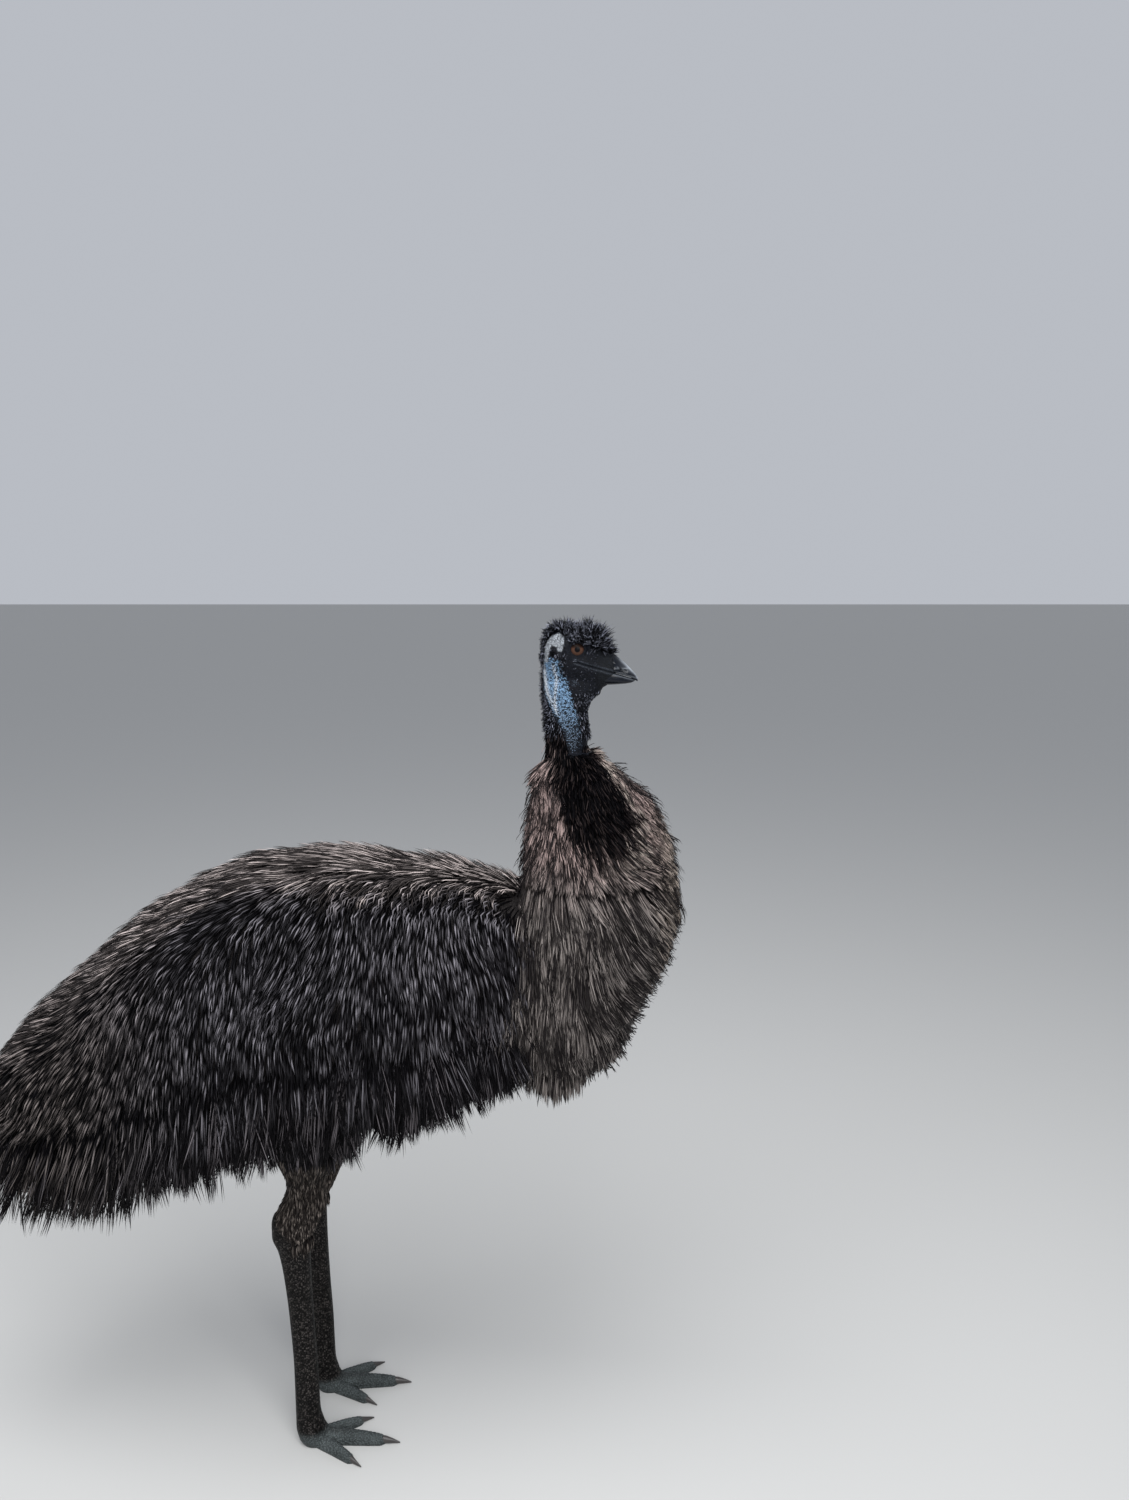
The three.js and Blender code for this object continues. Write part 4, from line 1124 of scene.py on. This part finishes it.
centre = in_frame(EYE)
flat = vectors(tree, "SUBTRACT", own_place(tree), (centre[0], 0, centre[2]))[0]
flat = vectors(tree, "MULTIPLY", flat, (1000, 0, 1000))[0]
reach = vectors(tree, "LENGTH", flat)["Value"]
rays = vectors(tree, "NORMALIZE", flat)[0]
fibres = add_node(tree, "ShaderNodeTexNoise", {"Vector": rays, "Scale": 9.0, "Detail": 5.0}).outputs["Fac"]
amber = blend(tree, fibres, (0.026, 0.012, 0.009, 1), (0.105, 0.055, 0.037, 1))
amber = blend(tree, spread(tree, reach, IRIS - 3.5, IRIS, 0.0, 0.7), amber, (0.030, 0.010, 0.006, 1))
# Painted shadow of the upper lid: the iris darkens towards its top.
height = add_node(tree, "ShaderNodeSeparateXYZ", {0: flat}).outputs["Z"]
amber = shaded(tree, amber, spread(tree, height, 0.0, 6.0, 1.0, 0.15))
inner = spread(tree, reach, PUPIL - 0.5, PUPIL + 0.5, 0.0, 1.0)
outer = spread(tree, reach, IRIS - 0.6, IRIS + 0.5, 1.0, 0.0)
coat_with(tree, shader, blend(tree, times(tree, inner, outer), (0.004, 0.004, 0.005, 1), amber))

for side, hand in SIDES:
    bm = bmesh.new()
    ball = bmesh.ops.create_uvsphere(bm, u_segments=64, v_segments=48, radius=EYE_RADIUS)["verts"]
    for corner in ball:
        x, y, z = corner.co
        corner.co = in_frame([EYE[0] + x, side * (EYE_Y + z), EYE[2] + y])
    mesh = mesh_of(bm, f"eye_{hand}")
    mesh.shade_smooth()
    put(mesh, f"eye_{hand}", eye_shine, "eye", f"eye_{hand}")


# The bill: two horn halves with a ridge along the top, a groove for the nostril and sharp edges that meet.
CULMEN = [
    [506, 1476, 11], [530, 1485, 16.5], [544, 1483, 16.6], [560, 1472, 12.5], [575, 1458.5, 8],
    [584, 1449, 4.6], [588.5, 1441.5, 1],
]
GONYS = [
    [506, 1436, 15], [520, 1429, 18], [545, 1430, 15], [565, 1431.5, 9.5], [577, 1433.5, 5],
    [583.5, 1436.5, 1],
]
NOSTRIL = {"x": 560, "z": 1455.5, "long": 8, "high": 2.2, "deep": 4.6}


def hook(x):
    """How far the tip of the upper half comes down over the lower."""
    return 3.5 * rise(x, 577, 587)


def finished_piece(bm, name, material, slot, *nodes):
    """Turns a bmesh in millimetres into a smooth piece of the model."""
    for corner in bm.verts:
        corner.co = in_frame(corner.co)
    mesh = mesh_of(bm, name)
    mesh.shade_smooth()
    put(mesh, name, material, slot, *nodes)


horn, tree, shader = finish_of("horn", Roughness=0.22, Specular_IOR_Level=0.24)
here = own_place(tree)
cloud = placed_effect(tree, clouds, {"Place": here, "Size": 0.008, "Depth": 1.1})
# Painted highlights: a pale colour along the ridge, the lips and the nostril's rim, with a painted sheen on
# the upper half's side.
horn_colour = blend(tree, painted(tree, "horn_highlight")["Fac"], (0.0042, 0.0055, 0.0090, 1), (0.33, 0.36, 0.40, 1))
coat_with(tree, shader, shaded(tree, horn_colour, cloud["Shade"]))
scratches = add_node(tree, "ShaderNodeMapping", {"Vector": here, "Scale": (120, 900, 900)}).outputs[0]
scratch_feeds = {"Vector": scratches, "Scale": 1.0, "Detail": 4.0}
scratch = add_node(tree, "ShaderNodeTexNoise", scratch_feeds).outputs["Fac"]
bumped(tree, shader, scratch, 0.00012, 0.5)

upper_rows = [[x, mouth_z(x) + 0.5 - hook(x), top, half] for x, top, half in CULMEN]
lower_rows = [[x, bottom, mouth_z(x) - 0.5, half] for x, bottom, half in GONYS]
for name, rows, square in (("bill_upper", upper_rows, (1.5, 5)), ("bill_lower", lower_rows, (5, 2))):
    bm = bmesh.new()
    draw_out(bm, rows, "x", square, 0, 96, 96, 0.6)
    horn_highlight = bm.verts.layers.float.new("horn_highlight")
    for corner in bm.verts:
        x, y, z = corner.co
        above = z - mouth_z(x)
        if name == "bill_lower":
            corner[horn_highlight] = 0.18 * bell(above, -3, 1.2) * rise(x, 515, 540)
            continue
        off_nostril = x - NOSTRIL["x"]
        slit = math.exp(-((off_nostril / NOSTRIL["long"]) ** 4)) * bell(z, NOSTRIL["z"], NOSTRIL["high"])
        trough = 1.6 * bell(above, 12, 5.5) * fade(x, 552, 574)
        corner.co.y -= np.sign(y) * min(abs(y), NOSTRIL["deep"] * slit + trough)
        corner.co.z += 1.2 * bell(y, 0, 2.2) * rise(above, 8, 18) * fade(x, 560, 586)
        below_top = smooth_rows(CULMEN, [x])[0, 0] - z
        # Painted highlights and sheen, none inside the nostril's slit.
        ridge = 0.62 * bell(below_top, 0, 3) * rise(x, 548, 570)
        lip = 0.2 * bell(above, 2.5, 1.2) * rise(x, 540, 562)
        rim = 0.4 * bell(z, NOSTRIL["z"] + 3.6, 1) * math.exp(-((off_nostril / 12) ** 4))
        shoulder_sheen = 0.08 * rise(above, 5, 11) * rise(x, 548, 572)
        corner[horn_highlight] = (ridge + lip + rim + shoulder_sheen) * (1 - slit)
    finished_piece(bm, name, horn, "horn", name)


# The legs: pebbled shanks, toes with scutes across their tops and blunt claws.
SHANK = [
    [474, -60, -24, -71, 10], [464, -72, -12, -71, 22], [446, -76, -7, -70, 27],
    [425, -76, -6, -70, 28], [395, -66, -8, -70, 24], [347, -58, -8, -70, 21],
    [250, -50, -6, -70, 18.5], [150, -46, -2, -70, 18], [70, -46, -1, -70, 20], [36, -46, 6, -70, 24],
    [14, -42, 16, -70, 25], [0, -34, 12, -70, 20],
]
TOES = [
    ("middle", 142, -3, 15, 9.5, 30),
    ("inner", 100, 27, 12, 8, 25),
    ("outer", 104, -33, 12.5, 8, 24),
]
TOE_ROOT_X = -16
FEET_Y = 70
FLOOR_GAP = 0.3  # the undersides of the feet are flat at this height

scaly, tree, shader = finish_of("scaly", Roughness=0.5, Specular_IOR_Level=0.09)
here = own_place(tree)
grain = placed_effect(tree, pebbles, {"Place": here, "Size": 0.0034})
cloud = placed_effect(tree, clouds, {"Place": here, "Size": 0.03, "Depth": 1.4})
shade = times(tree, grain["Shade"], cloud["Shade"])
shade = times(tree, shade, spread(tree, grain["Own"], 0.2, 1.0, 0.6, 1.8))
smoother = times(tree, spread(tree, grain["Height"], 0.0, 0.6, 0.6, 1.15), cloud["Shade"])
on_shank = shaded(tree, (0.021, 0.0188, 0.0175, 1), shade)
on_foot = shaded(tree, (0.068, 0.079, 0.080, 1), smoother)
high = add_node(tree, "ShaderNodeSeparateXYZ", {0: here}).outputs["Z"]
coat_with(tree, shader, blend(tree, spread(tree, high, 0.018, 0.036, 1.0, 0.0), on_shank, on_foot))
bumped(tree, shader, grain["Height"], 0.002)

claw_horn, tree, shader = finish_of("claw_horn", Roughness=0.38)
cloud = placed_effect(tree, clouds, {"Place": own_place(tree), "Size": 0.006, "Depth": 1.0})
coat_with(tree, shader, shaded(tree, (0.035, 0.031, 0.030, 1), cloud["Shade"]))

for side, hand in SIDES:
    bm = bmesh.new()
    draw_out(bm, SHANK if side < 0 else left_side(SHANK), "z", (2.2, 2.2), 0, 72, 220, 1.0)
    for corner in bm.verts:
        x, y, z = corner.co
        front = bell(y, side * FEET_Y, 12) * (x > -28)
        ridge = 0.8 * abs(math.sin(z * math.pi / 9)) ** 0.6 * fade(z, 20, 130)
        corner.co.x += front * ridge
        corner.co.z = max(z, FLOOR_GAP)
    finished_piece(bm, f"shank_{hand}", scaly, "scales", f"shank_{hand}")
    for toe, length, turn, root, tip, claw in TOES:
        turned = math.radians(-side * turn)
        toe_rows = [
            [0, 4, root * 0.9, 0, 4],
            [17, -6, root * 2 - 4, 0, root],
            [0.55 * length, -6, (root + tip) * 0.95, 0, (root + tip) / 2],
            [0.9 * length, -5, tip * 1.75, 0, tip],
            [length, 2, tip, 0, 2],
        ]
        start = length - 14
        claw_rows = [
            [start, 5, 11, 0, 2],
            [start + 6, 1.5, tip * 1.55, 0, tip * 0.62],
            [start + 0.7 * claw, 1, tip * 1.15, 0, tip * 0.4],
            [start + claw + 8, 1.2, 3.4, 0, 0.8],
        ]
        for part, rows, finish in (("toe", toe_rows, scaly), ("claw", claw_rows, claw_horn)):
            bm = bmesh.new()
            draw_out(bm, rows, "x", (2, 2.4), 0, 48, 140 if part == "toe" else 48, 0.8)
            for corner in bm.verts:
                x, y, z = corner.co
                if part == "toe":
                    scute = abs(math.sin(x * math.pi / 7.5)) ** 0.5 - 0.5
                    z += 1.1 * scute * rise(z, 5, 14) * rise(x, 25, 40)
                ahead_x = x * math.cos(turned) - y * math.sin(turned)
                ahead_y = x * math.sin(turned) + y * math.cos(turned)
                corner.co = (TOE_ROOT_X + ahead_x, side * FEET_Y + ahead_y, max(z, FLOOR_GAP))
            slot = "toes" if part == "toe" else "claw"
            finished_piece(bm, f"{part}_{toe}_{hand}", finish, slot, f"{part}_{toe}_{hand}")


# A plain pale floor and a plain bright room, with one broad soft light above and a weaker one from the
# camera's side.
bm = bmesh.new()
bmesh.ops.create_grid(bm, x_segments=1, y_segments=1, size=60)
floor = bpy.data.objects.new("floor", mesh_of(bm, "floor"))
bpy.context.scene.collection.objects.link(floor)
pale_floor, tree, shader = finish_of("pale_floor", Roughness=0.9)
shader.inputs["Base Color"].default_value = (0.5, 0.5, 0.49, 1)
floor.data.materials.append(pale_floor)

world = bpy.data.worlds.new("room")
world.use_nodes = True
room = world.node_tree.nodes["Background"]
room.inputs["Color"].default_value = (0.88, 0.92, 1.0, 1)
room.inputs["Strength"].default_value = 0.55
bpy.context.scene.world = world
bpy.context.scene.view_settings.view_transform = "Standard"

for name, size, power, place, aim in (
    ("overhead", 3.0, 150, (-200, -1300, 4000), (0, 0, 900)),
    ("front", 2.4, 105, (1500, -3300, 2700), (200, 0, 900)),
):
    lamp = bpy.data.lights.new(name, "AREA")
    lamp.shape = "SQUARE"
    lamp.size = size
    lamp.energy = power
    light = bpy.data.objects.new(name, lamp)
    light.location = in_frame(place)
    light.rotation_euler = Vector(in_frame(aim) - in_frame(place)).to_track_quat("-Z", "Y").to_euler()
    bpy.context.scene.collection.objects.link(light)
